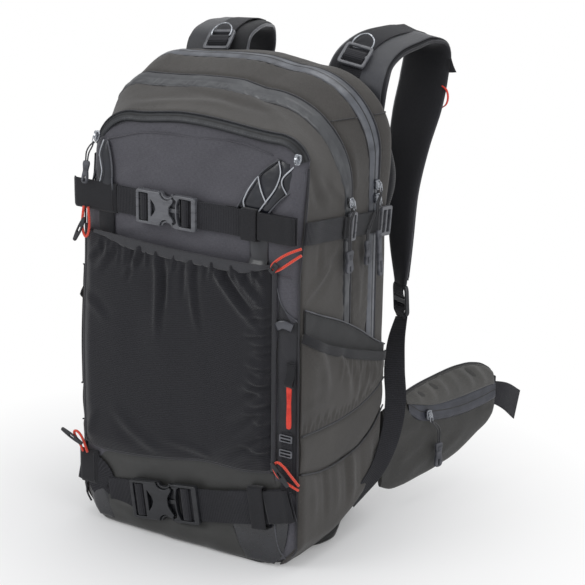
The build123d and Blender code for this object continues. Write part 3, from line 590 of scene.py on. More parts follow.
WEB_BLACK = ribbed("webbing_black", "151518", "323237", 0.0021, 0.00045)
HEM_CLOTH = woven("hem_cloth", "242428", "3a3a3f", 0.62, thread=0.0009)
WEB_FINE = ribbed("webbing_fine", "161618", "2f2f33", 0.0013, 0.0003)
LINER = woven("dark_liner", "101012", "1f1f22", 0.8)
MESH_CLOTH = woven("back_mesh", "121214", "2c2c30", 0.85, thread=0.0024, relief=0.0008)
HARNESS = woven("harness_cloth", "0f0f12", "212126", 0.8, sheen=0.1)
HARNESS_SATIN = woven("harness_satin", "232429", "3d3e44", 0.5, thread=0.0009, coat=0.12)
HIP_CLOTH = woven("hip_cloth", "2b2a29", "464543", 0.6, thread=0.001, sheen=0.14)
BUCKLE = moulded("buckle_plastic", "4d4e53", "66676c", 0.3, spec=0.55, coat=0.3)
BUCKLE_DARK = moulded("buckle_plastic_dark", "1b1c1f", "2b2c30", 0.36, spec=0.5, coat=0.1)
RUBBER = moulded("rubber_orange", "c4281c", "e94a3a", 0.5, spec=0.4)
GRIP = moulded("pull_grip", "3b3c41", "5f6066", 0.46, spec=0.4)
BAR_PLASTIC = moulded("toggle_plastic", "1c1c1f", "303034", 0.38)
SHEET_PLASTIC = moulded("frame_sheet_plastic", "26272a", "3a3b3f", 0.5)
STEEL = metal("slider_steel", "8d9096", "c9ccd1", 0.28)
ALLOY = metal("stay_alloy", "9da0a5", "c4c7cb", 0.35)
CORD_ORANGE = elastic("elastic_orange", "c22d1c", "f1573f")
CORD_BLACK = elastic("pull_cord_black", "151517", "3b3b3f")


def settle(piece, replaces=(), body="bag"):
    """Attach a finished piece to the body it moves with, and hide the nodes it stands for."""
    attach(piece, body)
    if replaces:
        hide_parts(*replaces)


# ---- camera, light and floor
def unit(v):
    return Vector(v).normalized()


VIEW_SIZE = 585
LOOK_AT = Vector((0, 0, 0.270))


def look_from(azimuth, elevation, distance, focal, middle):
    """Camera on a target, then turned a little so that the target sits off the middle."""
    a, e = math.radians(azimuth), math.radians(elevation)
    back = Vector((math.sin(a) * math.cos(e), -math.cos(a) * math.cos(e), math.sin(e)))
    right = Vector((math.cos(a), math.sin(a), 0))
    up = back.cross(right)
    aim = unit(-back * focal + right * (VIEW_SIZE / 2 - middle[0]) - up * (VIEW_SIZE / 2 - middle[1]))
    turn = (-back).rotation_difference(aim)
    basis = Matrix([turn @ right, turn @ up, -aim]).transposed()
    data = bpy.data.cameras.new("camera")
    data.sensor_width = 36
    data.lens = focal / VIEW_SIZE * data.sensor_width
    data.clip_end = 50
    camera = linked("camera", data)
    camera.matrix_world = Matrix.Translation(LOOK_AT + back * distance) @ basis.to_4x4()
    bpy.context.scene.camera = camera


def softbox(name, place, aim, size, power):
    data = bpy.data.lights.new(name, "AREA")
    data.shape = "RECTANGLE"
    data.size, data.size_y = size
    data.energy = power
    lamp = linked(name, data)
    lamp.location = place
    lamp.rotation_euler = (Vector(aim) - Vector(place)).to_track_quat("-Z", "Y").to_euler()


def studio():
    scene = bpy.context.scene
    scene.view_settings.view_transform = "Standard"
    world = bpy.data.worlds.new("studio")
    scene.world = world
    world.use_nodes = True
    tree = world.node_tree
    out = tree.nodes["World Output"]
    seen = tree.nodes["Background"]
    seen.inputs["Color"].default_value = (1, 1, 1, 1)
    light = tree.nodes.new("ShaderNodeBackground")
    light.inputs["Color"].default_value = (0.97, 0.985, 1, 1)
    light.inputs["Strength"].default_value = WORLD_LIGHT
    path = tree.nodes.new("ShaderNodeLightPath")
    mix = tree.nodes.new("ShaderNodeMixShader")
    tree.links.new(path.outputs["Is Camera Ray"], mix.inputs[0])
    tree.links.new(light.outputs[0], mix.inputs[1])
    tree.links.new(seen.outputs[0], mix.inputs[2])
    tree.links.new(mix.outputs[0], out.inputs["Surface"])
    softbox("key", (-1.6, -2.2, 2.2), (0, 0, 0.25), (1.6, 1.6), KEY_LIGHT)
    softbox("fill", (2.4, -0.6, 1.3), (0, 0, 0.25), (1.2, 1.8), FILL_LIGHT)
    softbox("top", (0.1, 0.5, 2.4), (0, 0, 0.3), (1.6, 1.2), TOP_LIGHT)

    bpy.ops.mesh.primitive_circle_add(vertices=96, radius=6, fill_type="NGON", location=(0, 0, -0.0005))
    floor = bpy.context.object
    floor.name = "floor"
    bpy.ops.object.transform_apply(location=True)
    f = Finish("floor_paper", Roughness=0.7, Specular_IOR_Level=0.2)
    f.color(f.mottled(3, 2, "ebebec", "efeff0"))
    far = f.node("VectorMath", [(0, f.coords.outputs["Object"])], operation="LENGTH").outputs["Value"]
    glow = f.node("Emission", Color=(1, 1, 1, 1), Strength=1)
    seen = f.node("LightPath").outputs["Is Camera Ray"]
    fade = f.math("MULTIPLY", f.ramp(far, 0.11, 0.46, 0.14, 1), seen)
    blend = f.node("MixShader", [(0, fade), (1, f.shader.outputs[0]), (2, glow.outputs[0])])
    f.tree.links.new(blend.outputs[0], f.tree.nodes["Material Output"].inputs["Surface"])
    floor.data.materials.append(f.material)


WORLD_LIGHT = 0.62
KEY_LIGHT = 26
FILL_LIGHT = 12
TOP_LIGHT = 13
look_from(34, 18, 2.2, 1980, (232.25, 289.78))
studio()


# ---- the bag's form
FRONT, BACK = -90, 90
HALF = 145
FRONT_HALF = 142.2      # to the front seams
SKIN_RUN = 1300       # once round the bag, from foot to foot
FOOT_U = 0.0006
MIDDLE = np.array([0, 0, 260])
FRONT_ZIP_Y, MAIN_ZIP_Y, POCKET_Y = 8, 58, -75
STATION_Y = (-75, 8, 58, 90)
TOPS = (484, 505, 523, 525)
RADII_RIGHT = (36, 100, 92, 72)
RADII_LEFT = (60, 33, 38, 60)
CROWNS = (7, 6, 6, 8)
INSETS = (23, 24, 34, 45)
RISES = (27, 31, 60, 109)
BASE = 1.8
TOP_SHARE, SIDE_SHARE, CUT_SHARE = 0.26, 0.42, 0.97     # of the way from top middle to base


def half_width(y):
    """Half width of the bag at a depth, rounded off towards the front and the back."""
    front = np.clip(10 - (y - FRONT), 0, 10)
    back = np.clip(9 - (BACK - y), 0, 9)
    return HALF - (10 - np.sqrt(100 - front**2)) - (9 - np.sqrt(81 - back**2))


def slim(z, y=POCKET_Y):
    """Share of its width the bag keeps on the upper left, which narrows towards the front."""
    share = 0.05 * smooth((z - 190) / 150) + 0.072 * smooth((z - 364) / 40)
    return 1 - share * smooth((-6 - y) / 64)


def full_x(x, z):
    """The x a place on the front would have without the narrowing."""
    return np.where(x < 0, x / slim(z), x)


def ring(u, y):
    """The bag's skin: u from the left foot over the top to the right foot, at depth y."""
    u, y = np.broadcast_arrays(np.asarray(u, float), np.asarray(y, float))
    w = np.abs(2 * u - 1)
    top = through(STATION_Y, TOPS, y) - np.clip(POCKET_Y - y, 0, 15) * 4.4
    right, left = through(STATION_Y, RADII_RIGHT, y), through(STATION_Y, RADII_LEFT, y)
    share = smooth((u - 0.5) / 0.1 + 0.5)
    radius = left + (right - left) * share
    crown = through(STATION_Y, CROWNS, y)
    inset, rise = through(STATION_Y, INSETS, y), through(STATION_Y, RISES, y)
    back_round = np.clip(9 - (BACK - y), 0, 9)
    top = top - (9 - np.sqrt(81 - back_round**2))
    side = half_width(y)
    flat = clamp(w / TOP_SHARE)
    turn = clamp((w - TOP_SHARE) / (SIDE_SHARE - TOP_SHARE)) * math.pi / 2
    down = clamp((w - SIDE_SHARE) / (CUT_SHARE - SIDE_SHARE))
    cut = clamp((w - CUT_SHARE) / (1 - CUT_SHARE))
    x = np.where(w < TOP_SHARE, (side - radius) * flat, side - radius + radius * np.sin(turn))
    z_top = top - crown * (2 * flat**2 - flat**4)
    z_corner = top - radius + (radius - crown) * np.cos(turn)
    z_side = top - radius + (BASE + rise - top + radius) * down
    z = np.where(w < TOP_SHARE, z_top, np.where(w < SIDE_SHARE, z_corner, z_side))
    x = np.where(w > CUT_SHARE, side - inset * cut, x)
    z = np.where(w > CUT_SHARE, BASE + rise * (1 - cut), z)
    x = x + 6.5 * bell((z - 432) / 44) * smooth((y - 50) / 36) * smooth(w / 0.4)
    return points(np.where(u < 0.5, -x * slim(z, y), x), y, z)


def u_at(z, y, right=True):
    """Where the skin's side passes a height."""
    us = np.linspace(0.5, 1, 800) if right else np.linspace(0.5, 0, 800)
    heights = ring(us, np.full(800, float(y)))[:, 2]
    return float(np.interp(z, heights[::-1], us[::-1]))


def seam_depth(u):
    """Depth of the seam round the front panel: the lid's bend above, the front corner below."""
    w = np.abs(2 * np.asarray(u, float) - 1)
    return POCKET_Y - 12 * smooth((w - SIDE_SHARE) / 0.10)


def front_skin(x, z):
    """Depth of the front, which leans back above the strap and rounds off at its sides."""
    lean = np.clip(z - 404, 0, 90)
    y = FRONT + 0.17 * lean + 0.0006 * lean**2
    side = np.clip(np.abs(full_x(x, z)) - 132, 0, 10)
    return y + (10 - np.sqrt(np.maximum(100 - side**2, 0))) * 0.5


def lower_bulge(x, z):
    """How far the lower front stands forward of the flat, above and below the strap."""
    across = clamp(1 - (np.abs(x + 20) / 150) ** 2.4)
    below = bell((z - 10) / 24)
    return across * 7 * below


def skin_panel(y0, y1, step=3.6):
    """Grid over the skin between two depths, the first of which may be a function of u."""
    u0, u1 = FOOT_U, 1 - FOOT_U
    us = u0 + (u1 - u0) * graded(0, 1, step / SKIN_RUN / (u1 - u0))
    lo, hi = y0(us) if callable(y0) else np.full_like(us, y0), np.full_like(us, y1)
    wide = float(np.max(hi - lo))
    s = graded(0, wide, step, 1, 5) / wide
    U = np.repeat(us[:, None], len(s), axis=1)
    return ring(U, lo[:, None] + (hi - lo)[:, None] * s[None, :])


def dressed(P, amount):
    """A grid moved out along its normals; the bag's normals point outwards."""
    return P + outward(P) * amount[..., None]


def outward(P):
    n = normals(P)
    return -n if np.sum(n * (P - MIDDLE)) < 0 else n


def cloth_piece(name, P, thick, material):
    """A closed sheet with its grid as the outer face."""
    facing = 1 if np.sum(normals(P) * (P - MIDDLE)) > 0 else -1
    return part_piece(name, sheet_part(P, thick, facing), material)


# ---- shell panels
def side_relief(P, rows):
    """Folds given in (y, z) on the right side, and none on the left."""
    right = smooth((P[..., 0] - 100) / 40)
    return folds(P[..., 1], P[..., 2], rows) * right


def pucker(run, across, wave, depth, reach, seed):
    """Little gathers that fade away from a stitched edge."""
    jitter = noise2(run / 31, across * 0 + seed, seed) * 1.6
    return depth * np.sin(run * 2 * math.pi / wave + jitter * 2) * np.exp(-across / reach)


def panel(name, P, roll, drift, relief, thick, material, slot, replaces=()):
    """A cloth panel that rolls in at its seams, drifts softly over its surface and has its own folds."""
    a, b = runs(P)
    size, seed, share = drift
    total = edge_roll(a, b, *roll) + cloth_noise(a, b, size, seed) * share + relief
    settle(cloth_piece(name, dressed(P, total), thick, material), replaces)


def gusset(name, P, seams, gathers, drift, relief, replaces=()):
    """A side-and-top panel with gathers along its seams."""
    a, b = runs(P)
    for rear, *gather in gathers:
        relief = relief + pucker(a, b[:, -1:] - b if rear else b, *gather)
    panel(name, P, (2.2, 3.2, seams), drift, relief, 1.6, SIDE_CLOTH, "side_fabric", replaces)


def shell():
    # front gusset and lid, from the front seam to the front zip
    P = skin_panel(seam_depth, FRONT_ZIP_Y - 6)
    relief = side_relief(P, [
        (-28, 338, -86, 306, 5, 3, 4), (-14, 352, -70, 330, 4, 1.6, 2), (-52, 364, -60, 320, 4, -1.3, 2),
        (-30, 404, -74, 446, 7, 1.8, 3), (-2, 400, -44, 430, 5, 1.4, 2), (-50, 398, -82, 470, 6, -1.2, 2),
    ])
    relief += smooth((P[..., 2] - 440) / 40) * folds(P[..., 0], P[..., 1], [
        (-100, -60, 60, -46, 7, 1.5, 6), (-60, -20, 110, -34, 6, -1.2, -5), (20, -10, 120, -58, 6, 1.3, 4),
    ])
    gusset("front_gusset", P, "cd", ((True, 15, 0.5, 9, 3), (False, 17, 0.45, 8, 5)), (46, 11, 0.9), relief,
        ["front_compartment"])
    # middle gusset, between the two long zips
    P = skin_panel(FRONT_ZIP_Y + 6, MAIN_ZIP_Y - 6)
    relief = side_relief(P, [
        (22, 340, 30, 250, 4, 1.8, 2), (38, 344, 34, 262, 4, 1.6, -2), (18, 400, 26, 470, 5, 1.4, 2),
    ])
    gusset("middle_gusset", P, "cd", ((True, 16, 0.6, 9, 7), (False, 14, 0.5, 9, 9)), (40, 21, 0.9), relief,
        ["main_compartment"])
    # rear gusset and the bag's rounded back edge
    P = skin_panel(MAIN_ZIP_Y + 6, BACK - 0.2)
    gusset("rear_gusset", P, "c", ((False, 15, 0.5, 8, 13),), (44, 31, 0.7), 0)

    # back wall, from the rounded edge inwards under the back panel
    us = np.linspace(FOOT_U, 1 - FOOT_U, 260)
    edge = ring(us, np.full_like(us, BACK - 0.2))
    shrink = np.linspace(1, 0.5, 14)
    middle = np.array([0, 0, 250])
    P = np.stack([middle + (edge - middle) * np.array([k, 0, k]) for k in shrink], axis=1)
    P[..., 1] = BACK - 0.2
    a, b = runs(P)
    P[..., 1] += cloth_noise(a, b, 50, 41) * 0.3 - 0.3
    settle(cloth_piece("back_wall", P, 1.4, HARNESS))

    # front panel above the pocket, up to the goggle pocket's zip
    s = graded(-1, 1, 3.4 / 142, 1 / 142, 5 / 142)
    t = graded(0, 1, 3.4 / 140, 1.2 / 140, 5 / 140)
    S, T = cross_grid(s, t)
    us = 0.5 + 0.5 * SIDE_SHARE * s
    rim = ring(us, np.full_like(us, POCKET_Y))
    low_z = 326
    Z = low_z + (rim[:, 2:] - low_z) * T
    X = S * FRONT_HALF + (full_x(rim[:, :1], rim[:, 2:]) - s[:, None] * FRONT_HALF) * smooth(T * 1.25 - 0.25)
    X = np.where(X < 0, X * slim(Z), X)
    Y = front_skin(X, Z)
    reach = np.minimum((1 - T) * 140, (1 - np.abs(S)) * 142)
    target = np.where((1 - T) * 140 < (1 - np.abs(S)) * 142, POCKET_Y + 0 * S, seam_y(Z))
    keep = bell(reach / 11)
    Y = Y * (1 - keep) + (target + 0.6) * keep
    P = points(X, Y, Z)
    relief = folds(X, Z, [
        (-88, 470, 40, 462, 9, 1.8, 4), (-60, 446, 30, 410, 10, 1.5, 3),
        (-90, 404, -40, 424, 6, 1.3, 2), (30, 440, 84, 462, 8, -1.4, 3),
        (-40, 362, -90, 350, 5, 1.2, 1), (10, 362, 60, 352, 5, 1.2, 1),
    ])
    panel("front_panel", P, (1.6, 3, "abd"), (50, 51, 0.8), relief, 1.6, FRONT_CLOTH, "front_fabric",
        ["goggle_pocket"])

    # lower front, under the stretch pocket and the strap
    x = graded(-1, 1, 3.6 / 142, 1.2 / 142, 5 / 142)
    z = graded(1.6, 332, 4)
    X, Z = cross_grid(x, z)
    narrow = FRONT_HALF - 22 * clamp((26 - Z) / 26) ** 1.3
    X = X * narrow
    X = np.where(X < 0, X * slim(Z), X)
    keep = bell(((1 - np.abs(full_x(X, Z)) / narrow) * 142) / 10)
    Y = front_skin(X, Z) * (1 - keep) + (seam_y(Z) + 0.6) * keep
    Y = Y - lower_bulge(X, Z) * (1 - keep)
    foot = clamp((14 - Z) / 12)
    Y = Y + 5 * foot**2
    P = points(X, Y, Z)
    panel("lower_front", P, (1.6, 3, "ab"), (44, 61, 0.8), 0, 1.6, FRONT_CLOTH, "front_fabric")

    # base
    x = np.linspace(-1, 1, 60)
    y = graded(-93, 86, 4)
    X, Y = cross_grid(x, y)
    half = through([-93, -84, -45, -26, -6, 20, 37, 58, 86], [113, 119, 123, 134, 138, 130, 123, 116, 103], y)
    X = X * half[None, :]
    a, b = (X - X[:1]), (Y - Y[:, :1])
    Z = 0.9 + 0.5 * cloth_noise(X, Y, 36, 71) + 4.4 * bell((1 - np.abs(X) / half) * 130 / 8)
    Z = np.maximum(Z, 0.3)
    P = points(X, Y, Z)
    settle(cloth_piece("base", P, 1.4, BASE_CLOTH), ["bottom_panel"])

    # the base's upturned rear, under the back panel
    s, z = np.linspace(-1, 1, 70), graded(1, 62, 3, 1, 4)
    S, Z = cross_grid(s, z)
    X = S * through([0, 30, 62, 110], [99, 110, 123.5, 143], Z)
    Y = 90.2 + 1.6 * np.sin(clamp(Z / 62) * math.pi) - 6 * clamp((8 - Z) / 8) ** 2
    Y -= 5 * clamp((np.abs(S) - 0.9) / 0.1) ** 2
    Y += 0.6 * cloth_noise(X, Z, 34, 73)
    settle(cloth_piece("rear_foot", points(X, Y, Z), 1.4, BASE_CLOTH))


def seam_y(z):
    """Depth of the front seam at a height on the side."""
    zs = np.linspace(SIDE_SHARE, 0.96, 60)
    us = 0.5 + zs / 2
    at = ring(us, seam_depth(us))
    return np.interp(z, at[::-1, 2], at[::-1, 1])


shell()


# ---- zips
def zip_cloth(name, dark, light, width, rough=0.36, coat=0.35):
    """Coated zip tape: satin, with the closed teeth as a dark line and a stitch line at each edge."""
    f = Finish(name, Roughness=rough, Coat_Weight=coat, Coat_Roughness=0.25, Specular_IOR_Level=0.5)
    parts = f.node("SeparateXYZ", [("Vector", f.coords.outputs["UV"])])
    off = f.math("ABSOLUTE", parts.outputs["Y"])
    teeth = f.ramp(off, 0.0004, 0.0009, 1, 0)
    stitch = f.math("MULTIPLY", f.ramp(f.math("ABSOLUTE", f.math("SUBTRACT", off, width * 0.00036)), 0.0001,
        0.0004, 1, 0), f.ramp(f.wave(0.0034), 0.4, 0.6))
    satin = f.mottled(60, 3, dark, light)
    satin = f.mix(f.math("MULTIPLY", stitch, 0.6), satin, shade("55575f"))
    f.color(f.mix(teeth, satin, shade("0a0a0c")))
    f.roughness(f.ramp(f.noise("Object", (200, 200, 200), 3), 0.3, 0.7, rough - 0.06, rough + 0.1))
    f.bump(f.math("MULTIPLY", teeth, -1), 0.0004, 0.8)
    return f.material


def tape_section(width, thick):
    """Zip tape: two strips that rise a little towards the closed teeth."""
    half = width / 2
    xs = np.array([-1, -0.97, -0.8, -0.3, -0.1, 0, 0.1, 0.3, 0.8, 0.97, 1]) * half
    tops = np.array([-0.6, -0.1, 0.2, 0.75, 0.9, 0.35, 0.9, 0.75, 0.2, -0.1, -0.6]) * thick
    top = points(xs, tops)
    under = points(xs[::-1], -0.9 * thick + 0 * xs)
    return np.concatenate([top, under])[::-1]


def skin_line(u0, u1, y, lift):
    """A line over the skin at one depth, with the skin's normals."""
    us = np.linspace(u0, u1, max(8, int(abs(u1 - u0) * 1330 / 4)))
    y = y(us) if callable(y) else np.full_like(us, y)
    P = np.stack([ring(us, y - 1.5), ring(us, y + 1.5)], axis=1)
    n = np.cross(np.gradient(P[:, 0], axis=0), P[:, 1] - P[:, 0])
    n = unit_rows(n)
    middle = P.mean(axis=1)
    if np.sum(n * (middle - MIDDLE)) < 0:
        n = -n
    return middle + n * lift, n


def zips():
    satin = zip_cloth("zip_tape_light", "414349", "63666d", 16)
    for name, y in [("front_zip", FRONT_ZIP_Y), ("main_zip", MAIN_ZIP_Y)]:
        low_r, low_l = u_at(212, y), u_at(212, y, False)
        if name == "main_zip":
            path, ups = skin_line(low_l, low_r, y - 1.5, 0.1)
            tape = swept("main_zip_tape", path, tape_section(17.5, 1.3), ups, satin)
        else:
            # a gathered satin flap covers this one's teeth, broad over the top and narrow below
            us, v = np.linspace(low_l, low_r, 420), np.linspace(0, 1, 15)
            grow = smooth((ring(us, y)[:, 2] - 392) / 48)
            Y = (y - 10 - 13 * grow)[:, None] * (1 - v) + (y + 1.5 + 1.5 * grow)[:, None] * v
            P = ring(np.repeat(us[:, None], 15, 1), Y)
            a, b = runs(P)
            ruche = np.sin(a / 2.3 + 2.2 * noise2(a / 21, b / 14,
                33)) * np.sin(clamp(v / 0.52) * math.pi) * (0.35 + 0.65 * grow)[:, None]
            lift = 1.1 + 0.6 * ruche + 0.5 * cloth_noise(a, b, 17,
                35) - 1.4 * bell(np.minimum(v, 1 - v) / 0.05)
            lift -= 0.9 * bell((v - 0.54) / 0.035) * grow[:, None]
            tape = cloth_piece("front_zip_flap", dressed(P, lift), 1.2, ZIP_SATIN)
        settle(tape, [name])
        for side, (a, b) in {"right": (low_r - 0.004, 1 - FOOT_U), "left": (FOOT_U, low_l + 0.004)}.items():
            us = np.linspace(a, b, 60)
            s = graded(y - 6.4, y + 6.4, 2.2, 0.8, 2)
            P = ring(np.repeat(us[:, None], len(s), 1), np.repeat(s[None, :], len(us), 0))
            a_, b_ = runs(P)
            P = dressed(P, edge_roll(a_, b_, 2, 2.4, "cd") + 0.4 * cloth_noise(a_, b_, 30, 5))
            settle(cloth_piece(f"{name}_gusset_{side}", P, 1.4, SIDE_CLOTH))
        for edge, off in (("outer", -10.5 if name == "main_zip" else -11),
                ("inner", 7.4 if name == "main_zip" else 3.6)):
            wide = 12 if (name, edge) == ("front_zip", "outer") else 0
            path, ups = skin_line(u_at(150, y, False), u_at(150, y),
                lambda u: y + off - wide * smooth((ring(u, y)[:, 2] - 392) / 48), -0.5)
            piece = tube_piece(f"{name}_seam_{edge}", path, 1.5 if edge == "inner" else 0.8, BINDING_CLOTH, 8,
                ups)
            settle(piece)
    for label, ys in (("middle", np.linspace(14, 46, 14)), ("rear", np.linspace(67, 88, 10))):
        for side in (1, -1):
            path = np.array([ring(u_at(474, y, side > 0), y) for y in ys])
            path[:, 0] += side * 0.9
            settle(tube_piece(f"{label}_cross_seam_{TAG[side]}", path, 0.5, BINDING_CLOTH, 6, (side, 0, 0.6)))

    # the goggle pocket's zip, along the bend between front and lid
    us = np.linspace(0.5 - SIDE_SHARE * 0.475, 0.5 + SIDE_SHARE * 0.478, 120)
    edge = ring(us, np.full_like(us, POCKET_Y))
    along = np.gradient(edge, axis=0)
    along = unit_rows(along)
    depth = np.array([0, 1, 0])
    radial = np.cross(along, depth)
    radial *= np.sign(radial[:, 2:3] + 1e-6)
    ups = radial * 0.62 - depth * 0.78
    path = edge - radial * 4.2 - depth * 1.2 + ups * 0.9
    dark_tape = zip_cloth("zip_tape_blue", "191b1f", "27292d", 11, 0.52, 0.08)
    settle(swept("goggle_zip_tape", path, tape_section(12.5, 1.3), ups, dark_tape),
        ["goggle_zip"])
    line = edge + radial * 0.5 + ups * 0.2
    settle(tube_piece("goggle_zip_seam", line, 0.8, BINDING_CLOTH, 6, ups))
    line = edge - radial * 10.6 - depth * 2 + ups * 0.25
    settle(tube_piece("goggle_zip_hem", line, 0.7, BINDING_CLOTH, 6, ups))
    front_trim("goggle_hem_stitch", [(-106, 444), (-63, 456), (12, 460.5), (65, 462), (104, 455.5)], 0.9, 0.6,
        FRONT_CLOTH, 6)


# ---- front surface
def front_at(x, z, lift=0):
    """A point on the front of the bag, moved forward by a lift."""
    x, z = np.broadcast_arrays(np.asarray(x, float), np.asarray(z, float))
    wide = np.abs(full_x(x, z))
    turn_radius = np.where(x > 0, RADII_RIGHT[0], RADII_LEFT[0])
    turn_x, turn_z = HALF - turn_radius, TOPS[0] - turn_radius
    corner = turn_radius - np.hypot(wide - turn_x, (z - turn_z) * turn_radius / (turn_radius - CROWNS[0]))
    straight = FRONT_HALF - wide
    lid = TOPS[0] - CROWNS[0] * (wide / turn_x) ** 2 - z
    turning = (z > turn_z) & (wide > turn_x)
    gap = np.where(turning, corner, np.minimum(straight, lid))
    above = (lid < straight) | turning
    target = np.where(above, POCKET_Y, seam_y(z))
    keep = bell(np.clip(gap, 0, None) / 11)
    y = front_skin(x, z) * (1 - keep) + (target + 0.6) * keep - lower_bulge(x, z) * (1 - keep)
    return points(x, y - lift, z)


def front_line(spots, lift, step=3):
    """A line over the front through (x, z) points."""
    flat = spaced(spots, step)
    return front_at(flat[:, 0], flat[:, 1], lift)


def front_trim(name, spots, lift, radius, material, sides=8, step=3, squash=1):
    """A round trim along a line over the front."""
    settle(tube_piece(name, front_line(spots, lift, step), radius, material, sides, FORWARD, squash))


def front_band(name, spots, lift, section, material):
    """A flat band along a line over the front."""
    settle(swept(name, front_line(spots, lift), section, FORWARD, material))





def between(left, right, s, t):
    """Grid between two curves of (x, z) points: s along them, t from left to right."""
    a, b = spaced(left, 2), spaced(right, 2)
    la, lb = np.linspace(0, 1, len(a)), np.linspace(0, 1, len(b))
    A = np.stack([np.interp(s, la, a[:, k]) for k in (0, 1)], axis=1)
    B = np.stack([np.interp(s, lb, b[:, k]) for k in (0, 1)], axis=1)
    return A[:, None] * (1 - t)[None, :, None] + B[:, None] * t[None, :, None]


# ---- lattice leaves
LEAF_RIGHT = [(68, 396), (70, 399.5), (76, 411), (88, 430), (100, 442.5), (114, 453)]
LEAF_RIGHT_EDGE = [(107, 396), (109.5, 399), (121, 412.5), (131, 421.5), (138, 427.5), (141, 432),
    (141.3, 442)]
LEAF_LEFT = [(-128.5, 391), (-124.5, 405), (-123.6, 420), (-123.4, 432), (-121.5, 444)]
LEAF_LEFT_EDGE = [(-93, 391), (-94, 411), (-98, 428), (-104, 443)]


def leaf(name, left, right, lines, seed):
    s, t = graded(0, 1, 0.028, 0.012, 0.05), graded(0, 1, 0.05, 0.02, 0.08)
    flat = between(left, right, s, t)
    P = front_at(flat[..., 0], flat[..., 1], 3)
    grooves = sum(groove(flat, row) for row in lines)
    panel(name, P, (1.8, 2.6), (16, seed, 0.5), -grooves, 1.2, LEAF, "lattice_fabric")
    for i, row in enumerate(lines):
        front_trim(f"{name}_line_{i}", row, 3.3, 0.8, LATTICE_LINE, 6, 2, 0.7)
    for side, edge in (("left", left), ("right", right)):
        front_trim(f"{name}_piping_{side}", edge, 3, 1, PIPING, step=2.5)


def groove(flat, points):
    """A shallow quilted groove along a line of (x, z) points."""
    path = spaced(points, 3)
    gap = np.full(flat.shape[:2], 1e9)
    for a, b in zip(path, path[1:]):
        d = b - a
        q = clamp(((flat - a) @ d) / (d @ d))
        gap = np.minimum(gap, np.linalg.norm(flat - (a + q[..., None] * d), axis=2))
    return 1.1 * bell(gap / 2.6)


LATTICE_LINE = slick("lattice_line", "94979f", "c3c6cc", 0.3, coat=0.4, ripple=0.0001)


def leaves():
    leaf("leaf_right", LEAF_RIGHT, LEAF_RIGHT_EDGE, [
        [(114, 451), (117.5, 440), (115, 427), (103.5, 408), (95, 396)],
        [(91, 433), (96, 420), (103.5, 408)],
        [(90, 432), (79, 413), (76.5, 405), (79, 396)],
        [(131, 447), (120, 431), (127, 418.5)],
    ], 81)
    leaf("leaf_left", LEAF_LEFT, LEAF_LEFT_EDGE, [
        [(-110, 443), (-114, 426), (-108, 410), (-112, 393)],
    ], 83)


# ---- stretch pocket
STRETCH_LEFT, STRETCH_RIGHT = -140.5, 114


def stretch_low(x):
    return through([-142, -114, -73, -24, 23, 82, 116], [92, 88, 89.5, 96, 104.5, 106, 112], x)


def stretch_high(x):
    return through([-142, -100, -40, 30, 80, 116], [346, 345, 342, 340.5, 341, 343], x)


def stretch_surface(X, Z, hem=False):
    """Depth of the stretch panel, with the gear's soft bulge behind it and its gathers."""
    left = clamp((full_x(X, Z) - STRETCH_LEFT) / 16)
    right = clamp((STRETCH_RIGHT - X) / 12)
    low = clamp((Z - stretch_low(X)) / 18)
    hold = np.sin(left * math.pi / 2) * np.sin(right * math.pi / 2) * (0.35 + 0.65 * np.sin(low * math.pi / 2))
    swell = 1.6 * np.exp(-(((X + 20) / 70) ** 2) - (((Z - 215) / 70) ** 2))
    flat = front_at(X, Z)[..., 1]
    y = flat - 1.8 - 7 * hold - swell * hold
    if hem:
        return y
    relief = folds(X, Z, [
        (-85, 338, -118, 296, 4, 2.6, 2), (-60, 340, -74, 290, 3.2, -2.2, 2),
        (-50, 340, -80, 296, 3.5, 2.2, 3), (-31, 340, -34, 225, 4, 2.8, 2),
        (-22, 338, -24, 262, 3, -1.8, 2), (13, 338, 24, 245, 3.6, 2.2, -3),
        (3, 338, 2, 280, 3, -1.5, 1), (36, 338, 113, 262, 4.5, 3, -6),
        (50, 336, 96, 284, 3.2, -1.6, -4), (64, 338, 112, 292, 4, 2.6, -4),
        (88, 336, 112, 316, 3, 1.6, -2), (-104, 336, -138, 300, 3.6, 1.8, 2),
        (-138, 268, -96, 236, 6, 1.2, 4), (113, 206, 54, 160, 6, 2.6, 6),
        (113, 180, 36, 118, 6.5, 3, 8), (113, 150, 66, 116, 5, 2.2, 4),
        (113, 226, 70, 196, 5, 1.8, 4), (-30, 104, -100, 150, 7, 1.6, 6),
        (40, 112, -40, 118, 5, 1.4, -4), (-134, 96, -112, 140, 5, 1.4, 3),
    ])
    heights = np.array([300, 289, 279, 270, 259, 250, 241, 230, 222, 211, 201, 192, 181, 170, 158, 146, 134])
    rng = np.random.RandomState(17)
    for h in heights:
        reach = 16 + 26 * rng.rand()
        drop = (rng.rand() - 0.35) * 14
        relief = relief + fold(X, Z, (114, h), (114 - reach, h - drop), 2 + rng.rand(), 1.5 + rng.rand(), 1.5)
    for x in np.arange(-110, 108, 12.5):
        relief = relief + fold(X, Z, (x + 4 * rng.rand(), 338),
            (x + 8 * rng.rand() - 6, 318 - 16 * rng.rand()), 2, 0.7 + 0.7 * rng.rand(), 0.5)
    relief = relief + 0.5 * noise2(X / 30, Z / 60, 91)
    fade = clamp((Z - stretch_low(X)) / 8) * clamp((full_x(X, Z) - STRETCH_LEFT) / 8)
    return y - 1.3 * relief * fade


